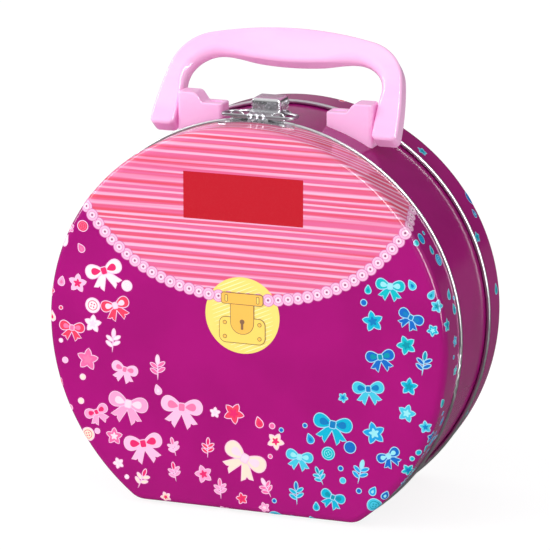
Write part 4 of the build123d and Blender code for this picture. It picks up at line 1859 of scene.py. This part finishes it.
@dataclass
class LatchTrim:
    """The spool on the bail's bar and the two bent loops that stand on the catch."""

    bar: Place = (-26.98, 188.6)
    spool_half: float = 4.6
    spool_core: float = 1.1
    spool_swell: float = 0.8
    swells: int = 3
    loop_middle: Triple = (9.9, -25.35, 188.3)
    loop_half: Pair = (3.1, 2.0)
    loop_taper: float = 0.3
    loop_wire: float = 0.5
    corners: int = 16
    steps: int = 36

    def build(self, wire: bpy.types.Material, chrome: bpy.types.Material) -> None:
        """Makes the spool and the loops.

        Args:
            wire: Finish of the spool.
            chrome: Finish of the loops.
        """
        spool = Workshop.extrude_rings("bail_spool", self.spool_rings(), capped=True)
        self.finish(spool, Body.BAIL, Slot.WIRE, wire)
        for side, name in zip(SIDES, ("left", "right")):
            rings = self.loop_rings(side)
            loop = Workshop.extrude_rings(f"catch_loop_{name}", rings, capped=False)
            self.finish(loop, Body.LID, Slot.CHROME, chrome)

    @staticmethod
    def finish(
        piece: bpy.types.Object, body: Body, slot: Slot, material: bpy.types.Material
    ) -> None:
        """Cleans and dresses one piece.

        Args:
            piece: The piece.
            body: The body that carries it.
            slot: The record's slot for its finish.
            material: Its finish.
        """
        Workshop.drop_marks(piece)
        Workshop.finish_faces(piece)
        Workshop.dress(piece, body, slot, material)

    def spool_rings(self) -> list[np.ndarray]:
        """Sections of the spool along the bar, swollen between its ends.

        Returns:
            The sections.
        """
        turn = Shape.turns(self.corners)
        rings = []
        for share in np.linspace(0, 1, self.steps):
            swell = math.sin(math.pi * self.swells * share) ** 2
            radius = self.spool_core + self.spool_swell * swell
            x = np.full(self.corners, self.spool_half * (2 * share - 1))
            rings.append(in_rows(x, self.bar[0] + radius * np.cos(turn),
                              self.bar[1] + radius * np.sin(turn)))
        return rings

    def loop_rings(self, side: int) -> list[np.ndarray]:
        """Sections of the wire round one loop, which is taller on the outside of the catch.

        Args:
            side: -1 for the left loop and 1 for the right.

        Returns:
            The sections.
        """
        turn = Shape.turns(self.corners)
        middle_x, middle_y, middle_z = self.loop_middle
        half_x, half_z = self.loop_half
        rings = []
        for angle in Shape.turns(self.steps):
            taper = 1 + self.loop_taper * math.cos(angle)
            away = Vector((math.cos(angle) / half_x, math.sin(angle) / half_z)).normalized()
            x = middle_x + half_x * math.cos(angle) + self.loop_wire * away.x * np.cos(turn)
            z = middle_z + half_z * taper * math.sin(angle) + self.loop_wire * away.y * np.cos(turn)
            y = middle_y + self.loop_wire * np.sin(turn)
            rings.append(in_rows(side * x, y, z))
        return rings


@dataclass(frozen=True)
class Lamp:
    """One soft rectangular light, in metres, which points at the tin.

    A lamp that isn't cast gives only its mirror image, and one that isn't mirrored gives none.
    """

    name: str
    place: Triple
    size: Pair
    power: float
    cast: bool = True
    mirrored: bool = True
    aim: Triple = (0.0, 0.0, 0.1)

    def hang(self) -> None:
        """Makes the light."""
        data = bpy.data.lights.new(self.name, "AREA")
        data.shape = "RECTANGLE"
        data.size, data.size_y, data.energy = *self.size, self.power
        light = bpy.data.objects.new(self.name, data)
        bpy.context.scene.collection.objects.link(light)
        light.visible_diffuse, light.visible_glossy = self.cast, self.mirrored
        towards = Vector(self.aim) - Vector(self.place)
        light.rotation_mode = "QUATERNION"
        light.rotation_quaternion = towards.to_track_quat("-Z", "Y")
        light.location = self.place


@dataclass
class Camera:
    """The photograph's camera. It shows what lies from the nearest to the furthest metre."""

    azimuth: float = 19.89
    elevation: float = 14.56
    distance: float = 1618.78
    aim: Triple = (0.0, -1.91, 90.0)
    shift_across: float = 0.06
    shift_up: float = 16.0
    lens: float = 221.76
    sensor: float = 36.0
    nearest: float = 0.05
    furthest: float = 60.0

    def build(self) -> None:
        """Places the camera and makes it the scene's own."""
        azimuth, elevation = math.radians(self.azimuth), math.radians(self.elevation)
        back = Vector((
            math.sin(azimuth) * math.cos(elevation),
            -math.cos(azimuth) * math.cos(elevation),
            math.sin(elevation),
        ))
        across = Vector((math.cos(azimuth), math.sin(azimuth), 0.0))
        up = back.cross(across)
        data = bpy.data.cameras.new("camera")
        data.lens, data.sensor_width = self.lens, self.sensor
        data.clip_start, data.clip_end = self.nearest, self.furthest
        camera = bpy.data.objects.new("camera", data)
        bpy.context.scene.collection.objects.link(camera)
        place = Vector(self.aim) + across * self.shift_across + up * self.shift_up
        turned = Matrix((across, up, back)).transposed().to_4x4()
        camera.matrix_world = Matrix.Translation((place + back * self.distance) * MM) @ turned
        bpy.context.scene.camera = camera


@dataclass
class Floor:
    """The white floor, in metres, which keeps the tin's shadow and is dark in reflections."""

    half: float = 6.0
    colour: Colour = (0.93, 0.93, 0.93, 1.0)
    roughness: float = 0.9
    specular: float = 0.1
    white_share: float = 0.8
    white_glow: float = 1.08
    dark_ramp: Pair = (-0.04, -0.14)
    mirrored: Colour = (0.14, 0.14, 0.14, 1.0)
    mirrored_front: Colour = (0.04, 0.04, 0.04, 1.0)

    def build(self) -> None:
        """Lays the floor."""
        Workshop.select_none()
        bpy.ops.mesh.primitive_plane_add(size=2 * self.half)
        floor = bpy.context.object
        floor.name = "floor"
        look = Look.material("floor_white")
        camera, glossy = look.rays()
        _, depth, _ = look.split(look.place())
        front = depth.ramp(*self.dark_ramp)
        dark = look.glow(Color=look.mix(front, self.mirrored, self.mirrored_front))
        white = look.glow(Color=WHITE, Strength=self.white_glow)
        look.finish(Base_Color=self.colour, Roughness=self.roughness,
                    Specular_IOR_Level=self.specular)
        diffuse = Flow(look, look.shader.outputs[0])
        seen = look.blend(camera * self.white_share, diffuse, white)
        output = look.tree.nodes["Material Output"]
        look.feed(output.inputs["Surface"], look.blend(glossy, seen, dark))
        floor.data.materials.append(look.owner)


@dataclass
class Sky:
    """The world: white to the camera, a soft light, and a graded room in reflections.

    Its light is dimmer from the right. In reflections it is dim low down, a little dim in front
    of the tin, and dark behind it except on the left. Each ramp is read on one part of the
    direction that is looked in.
    """

    cast: float = 0.97
    cast_ramp: Pair = (-0.1, 0.9)
    cast_dimmed: float = 0.5
    low: float = 0.3
    high: float = 1.0
    rise_ramp: Pair = (0.0, 0.7)
    front_share: float = 0.7
    front_ramp: Pair = (-0.25, -0.75)
    behind_share: float = 0.12
    behind_across_ramp: Pair = (-0.45, 0.0)
    behind_depth_ramp: Pair = (0.3, 0.7)

    def build(self) -> None:
        """Makes the world."""
        world = bpy.data.worlds.new("studio")
        bpy.context.scene.world = world
        look = Look(world)
        background = look.tree.nodes["Background"]
        camera, glossy = look.rays()
        direction = look.node("ShaderNodeTexCoord", output="Generated")
        across, depth, height = look.split(direction)
        front = depth.ramp(*self.front_ramp)
        behind = across.ramp(*self.behind_across_ramp) * depth.ramp(*self.behind_depth_ramp)
        rise = height.ramp(*self.rise_ramp) * (self.high - self.low) + self.low
        mirrored = rise * (1.0 - front * (1.0 - self.front_share))
        mirrored = mirrored * (1.0 - behind * (1.0 - self.behind_share))
        cast = self.cast * (1.0 - across.ramp(*self.cast_ramp) * self.cast_dimmed)
        level = camera + glossy * mirrored + (1.0 - camera) * (1.0 - glossy) * cast
        look.feed(background.inputs["Color"], WHITE)
        look.feed(background.inputs["Strength"], level)


@dataclass
class Studio:
    """Camera, floor, sky and lamps."""

    lamps: tuple[Lamp, ...] = (
        Lamp("key_light", (-1.5, -1.2, 1.2), (1.0, 1.0), power=13.0, mirrored=False),
        Lamp("low_light", (0.2, -2.0, 0.4), (1.8, 0.6), power=9.5, mirrored=False),
        Lamp("right_strip", (1.32, -0.58, 0.25), (0.32, 1.1), power=19.0, cast=False),
        Lamp("upper_strip", (0.8, -0.58, 1.15), (0.32, 0.9), power=15.0, cast=False),
        Lamp("left_strip", (-1.35, 0.02, 0.75), (0.2, 1.1), power=8.0, cast=False),
    )

    def build(self) -> None:
        """Sets up the stage."""
        bpy.context.scene.view_settings.view_transform = "Standard"
        Camera().build()
        Floor().build()
        Sky().build()
        for lamp in self.lamps:
            lamp.hang()
        log.info("studio ready")


def main() -> None:
    """Builds every sub-assembly in order."""
    logging.basicConfig(level=logging.INFO, format="%(name)s: %(message)s")
    Studio().build()
    outline = TinOutline()
    lid_sheet, back_sheet = DrawnSheet(outline, Side.FRONT), DrawnSheet(outline, Side.BACK)
    Shells(outline, lid_sheet, back_sheet).build()
    print_ink = PrintInk("print_ink").material()
    FlapPrint(lid_sheet).build(print_ink)
    lid_garland = Garland(lid_sheet, "lid_figures", seed=12, sizes=LID_FIGURES, flap=FLAP)
    lid_garland.build(print_ink, Body.LID, Slot.LID_PAINT)
    back_garland = Garland(back_sheet, "back_figures", seed=5, sizes=BACK_FIGURES, depth=36.0)
    back_garland.build(print_ink, Body.TUB, Slot.BODY_PAINT)
    plastic = HANDLE_PLASTIC.material()
    Handle().build(plastic)
    Fittings().build(plastic)


if __name__ == "__main__":
    main()
